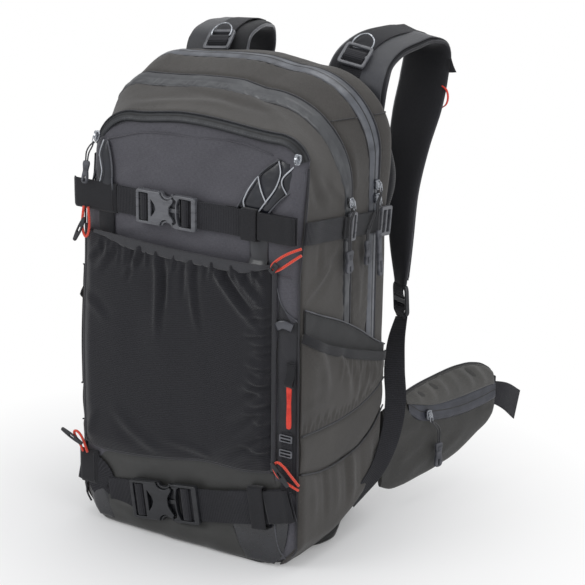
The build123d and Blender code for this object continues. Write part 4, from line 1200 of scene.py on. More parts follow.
def stretch():
    s = graded(0, 1, 2.2 / 255, 1.2 / 255, 6 / 255)
    t = graded(0, 1, 2.6 / 255, 1.2 / 255, 6 / 255)
    S, T = cross_grid(s, t)
    X = STRETCH_LEFT + (STRETCH_RIGHT - STRETCH_LEFT) * S
    scallop = 1.1 * np.sin(T * 255 / 10.5) * clamp((S - 0.9) / 0.1) * clamp(T * 4 - 0.3)
    X = X + scallop
    low, high = stretch_low(X), stretch_high(X) - 3
    Z = low + (high - low) * T
    X = np.where(X < 0, X * slim(Z), X)
    P = points(X, stretch_surface(X, Z), Z)
    panel = cloth_piece("stretch_panel", P, 1.1, STRETCH)
    settle(panel, ["stretch_pocket"])

    # elastic hem: a soft folded band
    xs = graded(-114.5, 115, 2.6, 1.2, 4)
    v = np.linspace(0, 1, 9)
    X, V = cross_grid(xs, v)
    top = stretch_high(X)
    taper = 0.3 + 0.7 * smooth((X + 116) / 52) * smooth((117 - X) / 46)
    Z = top - 12.5 * taper * (1 - V)
    puff = 1.3 * np.sqrt(clamp(1 - (2 * V - 1) ** 4))
    ripple = 0.35 * np.sin(X / 3.1 + 2 * noise2(X / 19, X * 0, 7)) * bell((V - 0.1) / 0.35)
    P = points(X, stretch_surface(X, Z, True) - puff - ripple, Z)
    hem = cloth_piece("pocket_hem_band", P, 2.2, HEM_CLOTH)
    settle(hem, ["pocket_hem"])

    # bound edge between the pocket and the side strip, and the turned edge on the left
    right = [(115.5, z) for z in (345, 300, 260, 220, 180, 140, 112)]
    front_band("pocket_binding_right", right, 3.2, band_section(5.5, 1.6, 0.6), BINDING_CLOTH)
    left = [(-141 * float(slim(z)), z) for z in (346, 300, 240, 180, 130, 92)]
    front_trim("pocket_binding_left", left, 1, 1.5, BINDING_CLOTH)
    low = [(x, float(stretch_low(x)) - 0.5) for x in (-140, -114, -73, -24, 23, 82, 114)]
    front_band("pocket_binding_low", low, 2.2, band_section(4.5, 1.8, 0.8), BINDING_CLOTH)


# ---- coated lower front and corner patches
def lower_front_trim():
    top = [(-140, 84), (-117, 80), (-82, 71), (-50, 72), (-6, 76), (40, 77.5), (78, 84), (113, 92),
        (126, 100)]
    xs = graded(-138.5, 126, 3.4, 1.4, 5)
    v = graded(0, 1, 0.045, 0.02, 0.06)
    X, V = cross_grid(xs, v)
    high = through([p[0] for p in top], [p[1] for p in top], X) + 6
    high = np.where(X < 113.5, stretch_low(np.minimum(X, 113.5)) + 5, high)
    floor = 1.8 + 24 * clamp((np.abs(X) - 110) / 28) ** 1.3
    Z = floor + (high - floor) * V
    P = front_at(X, Z, 1)
    relief = folds(X, Z, [
        (-108, 24, -50, 12, 6, 1.8, 3), (-20, 16, 60, 12, 7, 1.4, 2), (-90, 78, -20, 84, 5, 1.2, 2),
        (10, 82, 90, 92, 4, 1, 1),
    ])
    panel("coated_panel", P, (1.2, 2.5), (34, 101, 0.9), relief, 1.2, COATED, "coated_fabric")

    # glossy corner patches
    for name, left, right in [("patch_right", [(84, 3), (70, 24), (62, 44), (78, 60)],
            [(117, 3), (128, 20), (133, 44), (134, 66)]),
            ("patch_left", [(-117, 6), (-129, 20), (-136, 42), (-138, 66)],
            [(-96, 6), (-103, 26), (-114, 44), (-118, 66)])]:
        s, t = graded(0, 1, 0.06, 0.03, 0.06), graded(0, 1, 0.06, 0.03, 0.06)
        flat = between(left, right, s, t)
        P = front_at(flat[..., 0], flat[..., 1], 2.3)
        panel(name, P, (1, 2), (26, 111, 0.7), 0, 1.2, PATCH, "glossy_patch",
            ["corner_patches"] if name == "patch_right" else [])
    front_trim("corner_piping", [(118, 70), (119, 40), (124, 22), (131, 12)], 2.6, 0.8, PIPING, 6)

    # seams round the whole front
    for side in (-1, 1):
        zs = np.linspace(14, 446 if side > 0 else 424, 120)
        x = side * (half_width(seam_y(zs)) - 18 * clamp((24 - zs) / 24) ** 1.2 + 0.2)
        x = x * slim(zs) if side < 0 else x
        path = points(x, seam_y(zs) - 0.3, zs)
        settle(tube_piece("front_seam_" + TAG[side], path, 1.1, BINDING_CLOTH, 8, (side * 0.7, -0.7, 0)))


zips()
leaves()
stretch()
lower_front_trim()


# ---- placing of flat pieces
def frame_at(origin, x_dir, z_dir):
    """Matrix of a plane, in millimetres, from its origin, X and outward directions."""
    x, z = Vector(x_dir).normalized(), Vector(z_dir).normalized()
    m = Matrix([x, z.cross(x), z]).transposed().to_4x4()
    m.translation = Vector(origin)
    return m


def move(x=0, y=0, z=0):
    return Matrix.Translation((x, y, z))


def turn(degrees, axis="Z"):
    return Matrix.Rotation(math.radians(degrees), 4, axis)


def built(name, parts, material):
    return part_piece(name, join_parts(parts), material)


def soften(piece, degrees=35):
    """Smooth shading that keeps the crisp edges."""
    select_only(piece)
    bpy.ops.object.shade_smooth_by_angle(angle=math.radians(degrees))
    piece.select_set(False)
    return piece


def capsule(wide, tall, steps=8):
    return rectangle(-wide / 2, wide / 2, -tall / 2, tall / 2, min(wide, tall) / 2 * 0.98, steps)


def rectangle(x0, x1, y0, y1, r, steps=3):
    return rounded([(x0, y0), (x1, y0), (x1, y1), (x0, y1)], r, steps)


def arc(cx, cy, rx, ry, start, end, steps=14):
    angles = np.radians(np.linspace(start, end, steps))
    return [(cx + rx * math.cos(a), cy + ry * math.sin(a)) for a in angles]


def plate(outline, holes, low, high, bevel, place):
    """A moulded plate between two heights of a placed plane."""
    return plate_part(outline, holes, high - low, bevel, place @ move(0, 0, (low + high) / 2))


# ---- side-release buckles
BUCKLE_THICK = 9


def female_half(place, half, k):
    """Socket of a side-release buckle: X-shaped cover, cut away at both sides, over a hollow frame."""
    R = half + 3.4
    upper = [(-48 * k, R), (-17.5 * k, R)] + arc(-9.3 * k, R, 8 * k, 7.6, 178, 300)
    upper += [(-2.2 * k, R - 4.6), (0, R - 6), (0, R - 8.5), (-2.2 * k, R - 11.5), (-5.6 * k, half * 0.25)]
    outline = upper + [(x, -y) for x, y in reversed(upper)]
    outline = rounded(outline, [3] + [1.2] + [0] * 14 + [1.5] * 5 + [1.5] * 5 + [0] * 14 + [1.2] + [3], 3)
    slot = rectangle(-44.4 * k, -32.2 * k, -half - 0.4, half + 0.4, 1)
    lens = rounded([(-28.6 * k, -half * 0.66), (-24.2 * k, -half * 0.3), (-22.4 * k, 0),
        (-24.2 * k, half * 0.3), (-28.6 * k, half * 0.66)], 1.2)
    parts = [plate(outline, [slot, lens], 5.6, BUCKLE_THICK, 0.9, place)]
    rails = [(-48 * k, -R), (-16.5 * k, -R), (-15.5 * k, -R + 6.5), (0.2, -R + 6.5), (0.2, -R + 8.5),
        (-29.5 * k, -R + 8.5), (-29.5 * k, R - 8.5), (0.2, R - 8.5), (0.2, R - 6.5), (-15.5 * k, R - 6.5),
        (-16.5 * k, R), (-48 * k, R)]
    parts.append(plate(rounded(rails, 0.6, 2), [slot], 2.8, 5.9, 0.3, place))
    base = [(-48 * k, -R), (-17 * k, -R), (-14 * k, -R + 5), (0, -R + 5), (0, R - 5), (-14 * k, R - 5),
        (-17 * k, R), (-48 * k, R)]
    parts.append(plate(rounded(base, 1.6, 3), [slot], 0, 3, 0.6, place))
    parts.append(plate(rectangle(-40.2 * k, -36.6 * k, -half - 1, half + 1, 0.5), [], 2.6, 5.6, 0.6, place))
    return parts


def male_half(place, half, k):
    """Plug of a side-release buckle: frame with a rounded window, looped prongs and a guide tongue."""
    R = half + 3.4
    outline = [(0.8, -R + 0.6), (4.5, -R), (29 * k, -R), (29 * k, R), (4.5, R), (0.8, R - 0.6)]
    outline += [(0.8, R - 4.2), (4.2, R - 6), (4.2, -R + 6), (0.8, -R + 4.2)]
    outline = rounded(outline, [1.2, 2, 3.6, 3.6, 2, 1.2, 1, 1, 1, 1], 4)
    window = [(23.6 * k, -half - 0.2), (23.6 * k, half + 0.2), (8.5 * k, half + 0.2)]
    window += arc(9 * k, 0, 4.6 * k, half + 0.2, 92, 268, 12) + [(8.5 * k, -half - 0.2)]
    parts = [plate(outline, [rounded(window, 0.5, 2)], 2.4, BUCKLE_THICK, 1, place)]
    parts.append(plate(rectangle(12.2 * k, 16 * k, -half - 1, half + 1, 0.6), [], 2.8, 5.6, 0.8, place))
    for side in (1, -1):
        loop = arc(-8.6 * k, side * (R - 0.3), 8 * k, 6.6, 180, 360, 14)
        inner = arc(-8.6 * k, side * (R - 0.3), 5.8 * k, 4.5, 360, 180, 14)
        ring = [(x, y if side > 0 else 2 * side * (R - 0.3) - y) for x, y in loop + inner]
        parts.append(plate(ring, [], 3.2, 7, 0.5, place))
        arm = [(-2.6 * k, side * (R - 1)), (4.8, side * (R - 1)), (4.8, side * (R - 3.6)),
            (-2.6 * k, side * (R - 3.2))]
        parts.append(plate(arm, [], 3.2, 7, 0.4, place))
    tongue = [(5, -2.6), (-14 * k, -2.2), (-16 * k, 0), (-14 * k, 2.2), (5, 2.6)]
    parts.append(plate(rounded(tongue, 0.8, 2), [], 3.2, 5.2, 0.4, place))
    return parts


WEB_THICK = 1.4


def hump(start, bar, end, low, high, place, width):
    """Webbing that comes up through a buckle, over its bar and down again."""
    flat = spaced([(start - 5, low), (start, low + 0.6), (start + 0.6, high - 3), (start + 2.6, high - 0.4),
        (bar, high + 0.2), (end - 2.6, high - 0.4), (end - 0.6, high - 3), (end, low + 0.6), (end + 5, low)],
        0.9)
    path = placed(place, [(x, 0, h) for x, h in flat])
    return sweep_part(path, band_section(width, WEB_THICK), ups_for(turned(place, BACKWARD), path))


# ---- front straps
BUCKLE_OUT = 2.2
STRAPS = {"upper": SimpleNamespace(z=382, end_z=382, tilt=0, web=30, face=-90, mouth=-8, k=1, keeper=86,
    rise=0, tab=-88), "lower": SimpleNamespace(z=47, end_z=61, tilt=8, web=38, face=-91.7, mouth=-11, k=1.18,
    keeper=100, rise=10, tab=-120)}


def strap_point(s, x, out, up=0):
    """A place on a front strap: x along it, out from the face under it, up across it."""
    c, n = math.cos(math.radians(s.tilt)), math.sin(math.radians(s.tilt))
    z = s.z + (x - s.mouth) * n + up * c + s.rise * max(0, (x - 40) / 98) ** 1.6
    return (s.mouth + (x - s.mouth) * c - up * n, s.face - out, z)


def strap_band(name, s, spots, width, material, wave=0):
    """Webbing of a front strap through (x, out, up) points."""
    flat = spaced(spots, 1.6)
    path = np.array([strap_point(s, *p) for p in flat])
    path[:, 1] -= wave * np.sin(flat[:, 0] / 11)
    v = np.array([-math.sin(math.radians(s.tilt)), 0, math.cos(math.radians(s.tilt))])
    ups = ups_for(v, path)
    flip = -1 if ups[len(ups) // 2][1] > 0 else 1
    return swept(name, path, band_section(width, WEB_THICK, 0.25), ups * flip, material)


def front_straps():
    for label, s in STRAPS.items():
        k, m, half = s.k, s.mouth, s.web / 2
        plastic = BUCKLE if label == "upper" else BUCKLE_DARK
        place = frame_at(strap_point(s, m, BUCKLE_OUT),
            (math.cos(math.radians(s.tilt)), 0, math.sin(math.radians(s.tilt))), (0, -1, 0))
        socket = soften(built(label + "_buckle_socket", female_half(place, half, k), plastic))
        settle(socket, [label + "_buckle_female"])
        plug = soften(built(label + "_buckle_plug", male_half(place, half, k), plastic))
        settle(plug, [label + "_buckle_male"], label + "_buckle")

        # fixed webbing on the left: from the seam to the socket's bar and back over itself
        drop = s.end_z - s.z - (-143 - m) * math.sin(math.radians(s.tilt))
        left = [(-142.5, 0.9, drop), (-120, 0.9, drop * 0.72), (m - 84 * k, 0.9, drop * 0.12),
            (m - 60 * k, 1, 0), (m - 50 * k, 1.9, 0), (m - 40 * k, 2.4, 0)]
        band = strap_band(label + "_strap_left", s, left, s.web, WEB_BLACK, 0.3)
        settle(band, ["front_webbing"] if label == "upper" else [])
        over = [(m - 79 * k, 2.3, 0), (m - 62 * k, 2.6, 0), (m - 51 * k, 3.4, 0), (m - 45 * k, 4, 0)]
        settle(strap_band(label + "_strap_fold", s, over, s.web - 0.6, WEB_BLACK, 0.2))
        bump = hump(-43.8 * k, -38.4 * k, -33 * k, 1.2, 8.4, place, s.web - 0.8)
        settle(built(label + "_strap_hump", [bump], WEB_BLACK))

        # fixed webbing on the right, under the moving tail
        right = [(m + 62 * k, 0.9, 0), (m + 90 * k, 0.9, 0), (141.5, 0.9, 0)]
        settle(strap_band(label + "_strap_right", s, right, s.web - 0.4, WEB_BLACK))

        # moving webbing: under the plug, round its bar, and back as the loose tail
        back = BUCKLE_OUT + 1.2
        tail = back + 1.7
        loop = [(m + 74 * k, back, 0), (m + 40 * k, back, 0), (m + 12 * k, back + 0.2, 0)]
        settle(strap_band(label + "_loop_under", s, loop, s.web - 3, WEB_BLACK),
            [label + "_strap_loop"], label + "_buckle")
        bump = hump(9.6 * k, 14.6 * k, 20.2 * k, 1.4, 8.2, place, s.web - 0.8)
        settle(built(label + "_loop_hump", [bump], WEB_BLACK), body=label + "_buckle")
        tail_points = [(m + 17 * k, tail + 2, 0), (m + 30 * k, tail + 0.9, 0), (m + 44 * k, tail, 0),
            (s.keeper, tail - 0.1, 0), (138, tail, 0)]
        settle(strap_band(label + "_loop_tail", s, tail_points, s.web - 0.2, WEB_BLACK, 0.25),
            body=label + "_buckle")
        fold = [(m + (112 if label == "upper" else 118) * 1, tail + 1.5, 0), (130, tail + 1.6, 0),
            (139.5, tail + 1.2, 0), (141.4, tail - 0.2, 0)]
        fold[0] = (s.keeper + 10.5, tail + 1.5, 0)
        settle(strap_band(label + "_tail_fold", s, fold, s.web - 1, WEB_FINE, 0),
            body=label + "_buckle")

        # elastic keeper round both layers
        high, low, w = tail + 3.4, 0.2, half + (1.6 if label == "upper" else 4.9)
        loop = rounded([(low, -w), (high, -w), (high, w), (low, w)], 2.2, 4)
        path = np.array([strap_point(s, s.keeper, out, up) for out, up in loop])
        middle = np.array(strap_point(s, s.keeper, (high + low) / 2))
        part = sweep_part(path, band_section(18.5, 1.5), path - middle, closed=True)
        settle(part_piece(label + "_strap_keeper", part, WEB_FINE),
            ["strap_keepers"] if label == "upper" else [])

        # folded tab over the left end
        z, wide = s.end_z, half + 1.6
        xs = graded(-147.5, s.tab, 1.5, 0.6, 2)
        v = np.linspace(-1, 1, 15)
        X, V = cross_grid(xs, v)
        Z = z + V * wide
        rim = 1.2 * bell((X - s.tab) / 2) + 0.9 * clamp(np.abs(V) - 0.86) / 0.14
        wrap = 3.4 * bell((X + 147.5) / 2.4)
        Y = s.face - 3.3 + rim + wrap - 0.4 * noise2(X / 14, Z / 14, 23)
        P = points(X, Y, Z)
        settle(cloth_piece(label + "_end_tab", P, 1.3, WEB_FINE))
        stitch = front_line([(s.tab - 5, z - wide + 3), (s.tab - 5, z + wide - 3)], 4.2)
        stitch[:, 1] = s.face - 3.75
        settle(tube_piece(label + "_tab_stitch", stitch, 0.35, BINDING_CLOTH, 6, FORWARD))


# ---- tabs, elastic loops and toggles
def front_tabs():
    for side, name in ((-1, "hem_tab_left"), (1, "hem_tab_right")):
        x0, x1 = (-113.5, -92.5) if side < 0 else (83, 106)
        xs, zs = graded(x0, x1, 2, 0.8, 2), graded(334, 368, 2, 0.8, 2)
        X, Z = cross_grid(xs, zs)
        edge = np.minimum(np.minimum(X - x0, x1 - X) / 1.5, 1)
        belly = 2.4 * np.sin(clamp((Z - 334) / 34) * math.pi) * np.sin(clamp((X - x0) / (x1 - x0)) * math.pi)
        slump = 6 * clamp((346 - Z) / 10)
        P = np.stack([X, front_at(X, Z)[..., 1] - 0.8 - 0.9 * edge - belly - slump, Z], axis=-1)
        P[..., 1] -= 0.5 * noise2(X / 6, Z / 9, 29)
        settle(cloth_piece(name, P, 1.3, ZIP_DARK if side > 0 else WEB_FINE),
            ["hem_tabs"] if side > 0 else [])


CORD_D = 0.003
CORDS_M = {"cord_upper_left": (0.0701, [(-0.131, -0.095, 0.368), (-0.1325, -0.097, 0.353),
    (-0.131, -0.098, 0.340), (-0.127, -0.098, 0.333), (-0.1225, -0.098, 0.340), (-0.122, -0.097, 0.353),
    (-0.125, -0.095, 0.368)]), "cord_upper_right": (0.0801,
    [(0.1469, -0.0912, 0.365), (0.137, -0.096, 0.361), (0.125, -0.1005, 0.353), (0.117, -0.102, 0.345),
    (0.118, -0.102, 0.338), (0.126, -0.101, 0.341), (0.137, -0.0965, 0.350), (0.1469, -0.0912, 0.358)]),
    "cord_lower_left": (0.0584, [(-0.139, -0.0967, 0.078), (-0.143, -0.0975, 0.088), (-0.149, -0.099, 0.096),
    (-0.1495, -0.0995, 0.102), (-0.1435, -0.0995, 0.1025), (-0.137, -0.0985, 0.094),
    (-0.133, -0.0967, 0.078)]), "cord_lower_right": (0.0831,
    [(0.1469, -0.0915, 0.102), (0.141, -0.097, 0.113), (0.134, -0.1005, 0.124), (0.126, -0.1015, 0.129),
    (0.1205, -0.1015, 0.123), (0.123, -0.101, 0.114), (0.132, -0.0985, 0.106), (0.1469, -0.0915, 0.0965)])}


def route_line(name, route):
    """Points along a cord's NURBS route, in metres."""
    curve = bpy.data.curves.new(name, "CURVE")
    curve.dimensions = "3D"
    spline = curve.splines.new("NURBS")
    spline.points.add(len(route) - 1)
    for point, place in zip(spline.points, route):
        point.co = (*place, 1)
    spline.order_u = 3
    spline.use_endpoint_u = True
    spline.resolution_u = 10
    return [tuple(v) for v in curve_mesh(name, curve)[0]]


def cords():
    for name, (length, route) in CORDS_M.items():
        line = route_line(name, route)
        cord = tube_piece(name + "_elastic", np.array(line) / MM, CORD_D / 2 / MM, CORD_ORANGE, 10)
        settle(cord, [name])
    bars = []
    for x, y, z, lean in ((-133, -101.4, 343, 28), (-150, -102.8, 96, -66), (131, -104.9, 116, -42)):
        place = Matrix.Translation((x, y, z)) @ turn(lean, "Y") @ frame_at((0, 0, 0), (1, 0, 0), (0, -1, 0))
        outline = rounded([(-2, -16), (2, -16), (3, -5), (3, 5), (2, 16), (-2, 16), (-3, 5), (-3, -5)], 1.9,
            4)
        hole = capsule(2, 7, 5)
        bars.append(plate(outline, [hole], -1.6, 1.6, 1.1, place))
    settle(soften(built("toggle_bars", bars, BAR_PLASTIC), 50), ["cord_hooks"])
    # small clip on the loop at the upper right
    place = Matrix.Translation((121.5, -103.8, 343)) @ turn(36, "Y") @ frame_at((0, 0, 0), (1, 0, 0),
        (0, -1, 0))
    clip = plate(rectangle(-3.4, 3.4, -6.5, 6.5, 1.6), [capsule(2.4, 6, 4)], -1, 1.6, 0.8, place)
    settle(soften(built("cord_clip", [clip], BAR_PLASTIC), 50))


TAB_X, TAB_TOP_Z = 136, 217


def pull_tab():
    place = frame_at((TAB_X, -90.2, TAB_TOP_Z), (1, 0, 0), (0, -1, 0))
    web = np.array([(0, 22, 1), (0, 6, 1.2), (0, -1, 3.2), (0, -4.5, 5.2), (0, -1, 7.6), (0, 7, 3.4),
        (0, 20, 2.4)])
    path = placed(place, spaced(web, 1.2))
    settle(swept("tab_webbing", path, band_section(10, 1), ups_for(OUTWARD, path), WEB_FINE),
        ["tab_anchor"])
    at = place @ move(0, 0, 5.2)
    outline = rounded([(-2.6, 3), (-2.9, -8), (-2.2, -22), (-2.9, -44), (-2.3, -51), (2.3, -51), (2.9, -44),
        (2.2, -22), (2.9, -8), (2.6, 3)], [2.2, 1, 2, 2, 2, 2, 2, 2, 1, 2.2], 4)
    parts = [plate(outline, [capsule(2.4, 2, 5)], -1.6, 1.6, 1, at)]
    for y in (-14, -18, -22, -26, -30, -34, -38):
        parts.append(plate(capsule(3.4, 1.3, 4), [], 0.9, 2, 0.5, at @ move(0, y, 0)))
    settle(soften(built("rubber_pull", parts, RUBBER), 50), ["pull_tab"], "pull_tab_body")


def side_strip():
    """Black reinforced strip beside the pocket, with its webbing and two small slides."""
    left = [(117.5, 100), (117.5, 200), (117.5, 320)]
    right = [(141, 84), (141.2, 200), (141.3, 284)]
    s, t = graded(0, 1, 0.02, 0.008, 0.02), np.linspace(0, 1, 14)
    flat = between(left, right, s, t)
    bow = 9 * np.sin(t * math.pi)[None, :] * smooth((s - 0.8) / 0.2)[:, None]
    flat[..., 1] -= bow
    P = front_at(flat[..., 0], flat[..., 1], 0.9)
    panel("side_strip", P, (1, 2), (18, 121, 0.6), 0, 1.2, BINDING_CLOTH, "binding")
    front_trim("side_strip_piping", [(117.5, 318), (122, 303), (130, 292), (141.3, 284)], 1.4, 0.9, PIPING, 6)
    front_band("strip_webbing", [(131, 160), (131, 130), (131, 92)], 2.6, band_section(13, 1.3), WEB_BLACK)
    for i, z in enumerate((153, 136)):
        at = frame_at(front_at(131, z, 4.4), (1, 0, 0), (0, -1, 0.05))
        frame = plate(rectangle(-8, 8, -4.2, 4.2, 1.6),
            [rectangle(-6.4, 6.4, 0.9, 2.8, 0.4), rectangle(-6.4, 6.4, -2.8, -0.9, 0.4)], -1, 1, 0.5, at)
        settle(soften(built(f"strip_slide_{i}", [frame], BUCKLE)))
    front_band("strip_tab", [(118, 276), (126, 280), (136, 277)], 3, band_section(9, 2.4, 0.6), PIPING)


front_straps()
front_tabs()
cords()
pull_tab()
side_strip()


# ---- side pockets, straps and sliders
def mirror_part(part):
    """The same part on the left side, its faces turned to keep pointing outwards."""
    verts = np.array(part[0]) * np.array([-1, 1, 1])
    verts[:, 0] *= slim(verts[:, 2], verts[:, 1])
    return verts, [tuple(reversed(f)) for f in part[1]], part[2]


def sided(name, part, material, side):
    """A part made for the right side, or its mirror image for the left."""
    part = part if side > 0 else mirror_part(part)
    return part_piece(f"{name}_{TAG[side]}", part, material)


def settle_side(name, part, material, side, stands_for=None, body="bag"):
    """A finished piece on one side; the right one stands for a node of both."""
    settle(sided(name, part, material, side), [stands_for] if stands_for and side > 0 else [], body)


def rim_height(y):
    return through([-88, -75, -55, -34, 3, 23, 45, 69, 86],
        [272, 263.5, 252, 243, 228.5, 221.5, 214, 206.5, 202], y)


def band_top(y):
    """Seam between the pocket and the band under it."""
    return through([-86, -48, -4, 40, 70, 87], [156, 152.5, 150.5, 154, 162, 171], y)


def liner_height(y):
    """Top of the pocket's inner wall, which shows over its rim."""
    return through([-84, -60, -8, 30, 60, 84], [297, 286, 263.5, 243, 224, 211], y)


def band_low(y):
    return through([-86, -48, -4, 40, 66, 86], [113, 104, 102, 108, 120, 138], y)


def pocket_part(seed):
    """The pocket's skin: tight at its edges, standing open at the rim, gathered under the hem."""
    ys = graded(-86.5, 87, 2.6, 1.2, 5)
    t = graded(0, 1, 0.028, 0.012, 0.06)
    Y, T = cross_grid(ys, t)
    top = rim_height(Y)
    foot = band_top(Y)
    Z = foot + (top - foot) * T
    front = clamp((Y + 86.5) / 22)
    rear = clamp((87 - Y) / 16)
    hold = np.sin(front * math.pi / 2) * np.sin(rear * math.pi / 2) * (0.12 + 0.88 * np.sin(clamp(T * 1.1) * math.pi / 2))
    X = 145.9 + 7.4 * hold
    relief = folds(Y, Z, [
        (-30, 240, 10, 160, 6, 2.4, 4), (-70, 262, -40, 176, 7, 1.8, 5), (12, 214, 24, 160, 4, 1.8, 2),
        (34, 206, 30, 156, 4, -1.5, 2), (52, 204, 60, 158, 4, 1.6, 2), (-80, 190, -20, 168, 6, 1.4, 3),
    ])
    for y in np.arange(-20, 80, 7.5):
        rim = float(rim_height(np.array(y)))
        relief += fold(Y, Z, (y, rim - 8), (y + 3, rim - 32 - 14 * abs(math.sin(y))), 2.2,
            1.5 + 0.5 * math.sin(3 * y), 0.5)
    for y in np.arange(-80, 84, 8):
        foot_z = float(band_top(np.array(y)))
        relief += fold(Y, Z, (y, foot_z - 2), (y + 4, foot_z + 17 + 6 * math.sin(2 * y)), 2.2, 1.5, 0.5)
    relief += 0.8 * cloth_noise(Y, Z, 34, seed)
    edge = clamp(np.minimum(np.minimum(Y + 86.5, 87 - Y) / 7, (Z - foot) / 5))
    P = points(X + relief * edge, Y, Z)
    return P


def side_trim(name, x, ys, zs, radius, material, side):
    """A round trim along the side of the bag."""
    path = points(np.full(len(ys), x), ys, zs)
    settle_side(name, sweep_part(path, round_section(radius), OUTWARD), material, side)


def side_pocket(side, seed):
    P = pocket_part(seed)
    verts, faces, uvs = sheet_part(P, 1.2, 1)
    piece = sided("side_pocket_skin", (verts, faces, uvs), SIDE_CLOTH, side)
    settle(piece, ["side_pocket_" + TAG[side]])
    # elastic hem along the rim
    top = P[:, -1]
    path = spaced(top[::3], 2)
    path[:, 2] -= 4.2
    path[:, 0] += 0.6
    settle_side("side_pocket_hem", sweep_part(path, band_section(10.5, 2, 0.5), OUTWARD), WEB_FINE, side)
    # inner wall seen over the rim
    ys = np.linspace(-84, 84, 60)
    zs = np.linspace(0, 1, 14)
    Y, T = cross_grid(ys, zs)
    low, high = rim_height(Y) - 26, liner_height(Y)
    Z = low + (high - low) * T
    P = points(147.5 + 0.35 * cloth_noise(Y, Z, 20, seed + 3), Y, Z)
    settle_side("side_pocket_liner", sheet_part(P, 0.7), LINER, side)
    side_trim("side_pocket_back_rim", 148.1, ys, liner_height(ys), 0.9, PIPING, side)
    # puckered seam under the pocket, a dark tube that is partly a real seam and partly painted shadow under
    # the drooping gathers, and the smooth band below it
    ys = np.linspace(-86, 86, 110)
    side_trim("side_pocket_seam", 147, ys, band_top(ys) + 0.3, 1.1, BINDING_CLOTH, side)
    ys, zs = graded(-86, 86, 3.2, 1.2, 5), graded(0, 1, 0.06, 0.03, 0.08)
    Y, T = cross_grid(ys, zs)
    low = band_low(Y)
    Z = low + (band_top(Y) - 0.6 - low) * T
    swell = 1.6 * np.sin(clamp(T) * math.pi)
    rear = clamp((Y - 30) / 40) ** 2 * 0.5
    X = 146.2 + swell + 0.6 * cloth_noise(Y, Z, 40, seed + 5) - rear
    P = points(X, Y, Z)
    a, b = runs(P)
    P[..., 0] += edge_roll(a, b, 1.3, 2.4)
    piece = sided("side_band", sheet_part(P, 1.2), SIDE_CLOTH, side)
    settle(piece)
    side_trim("side_band_piping", 146.8, ys, band_low(ys) - 0.6, 0.9, BINDING_CLOTH, side)


def side_foot(side, seed):
    """The one panel under the side band, with soft upright folds, that turns in at its foot."""
    ys = graded(-86.5, 79, 3.2, 1.2, 5)
    t = graded(0, 1, 0.05, 0.02, 0.06)
    P = np.zeros((len(ys), len(t), 3))
    for i, y in enumerate(ys):
        low = u_at(float(band_low(np.array(y))) - 1.5, y)
        P[i] = ring(low + (1 - FOOT_U - low) * t, y)
    Y, Z = P[..., 1], P[..., 2]
    a, b = runs(P)
    relief = 1.9 + edge_roll(a, b, 1.5, 2.6) + 0.8 * cloth_noise(a, b, 34, seed)
    for y, height, width in ((-66, 0.9, 6), (-44, -1.5, 5), (-20, 1.6, 7), (2, -1.8, 5), (14, 1.8, 6),
            (34, -1.2, 5), (52, 1.3, 6)):
        relief += fold(Y, Z, (y, 108), (y + 5, 34), width, height, 3)
    part = sheet_part(dressed(P, relief), 1.4)
    settle_side("side_foot", part, SIDE_CLOTH, side)


SIDE_TILT = math.degrees(math.atan2(23, 167))


def side_strap_at(y, out):
    """A place on the compression strap's outer face, and its matrix."""
    z = 378 - 23 * (y + 80) / 167
    return frame_at((146.7 + 1.4 + out, y, z),
        (0, math.cos(math.radians(SIDE_TILT)), -math.sin(math.radians(SIDE_TILT))), (1, 0, 0))


def side_strap(side):
    flat = [(-83.5, -1), (-79, 0), (-50, 0), (-2, -0.2), (30, 0), (74, 0.2), (87, 0)]
    pts = spaced(flat, 1.8)
    path = np.array([tuple(side_strap_at(y, out - 0.7).translation) for y, out in pts])
    path[:, 0] += 0.15 * np.sin(pts[:, 0] / 6)
    piece = sided("compression_strap", sweep_part(path, band_section(24, WEB_THICK, 0.2), OUTWARD), WEB_BLACK,
        side)
    settle(piece, ["side_straps"] if side > 0 else [])
    over = spaced([(-12, 1.6), (-4, 2.6), (4, 1.6), (16, 1.5), (60, 1.4), (72, 1.8)], 1.6)
    path = np.array([tuple(side_strap_at(y, out).translation) for y, out in over])
    settle_side("compression_tail", sweep_part(path, band_section(23.4, 1.3, 0.2), OUTWARD), WEB_FINE, side)
    for name, y, wide, tall, low, high, node in (("slide", 4, 17, 31, 0.3, 3.6, "strap_slides"),
            ("buckle", 73, 22, 33, 0.2, 5.2, "side_buckles")):
        at = side_strap_at(y, 0)
        parts = [plate(rectangle(-wide / 2, wide / 2, -tall / 2, tall / 2, 3.2, 5),
            [rectangle(-wide / 2 + 3, -1.6, -12.4, 12.4, 1), rectangle(1.6, wide / 2 - 3, -12.4, 12.4, 1)],
            low, high, 0.9, at)]
        part = join_parts(parts)
        piece = soften(sided("strap_" + name, part, BUCKLE, side))
        settle(piece, [node] if side > 0 else [])


def slider_parts(at):
    """Zip slider: two-shouldered body, bridge and pin."""
    body = rounded([(-2.6, -5.6), (2.6, -5.6), (4, 0.5), (3.6, 5.2), (1, 5.8), (-1, 5.8), (-3.6, 5.2),
        (-4, 0.5)], 1.2, 3)
    parts = [plate(body, [], 0.2, 3.4, 0.7, at)]
    bridge = spaced([(0, 4.2, 3.2), (0, 3.6, 5), (0, 0.8, 6.8), (0, -2, 6.6), (0, -3.4, 4.8), (0, -3.8, 3.2)],
        0.6)
    path = placed(at, bridge)
    parts.append(sweep_part(path, band_section(2.6, 1), ups_for(turned(at, OUTWARD), path)))
    return parts


def loop_tube(at, spots, radius, sides=7):
    path = placed(at, spaced(spots, 0.9))
    return sweep_part(path, round_section(radius, sides), turned(at, (0, 0, 1)))


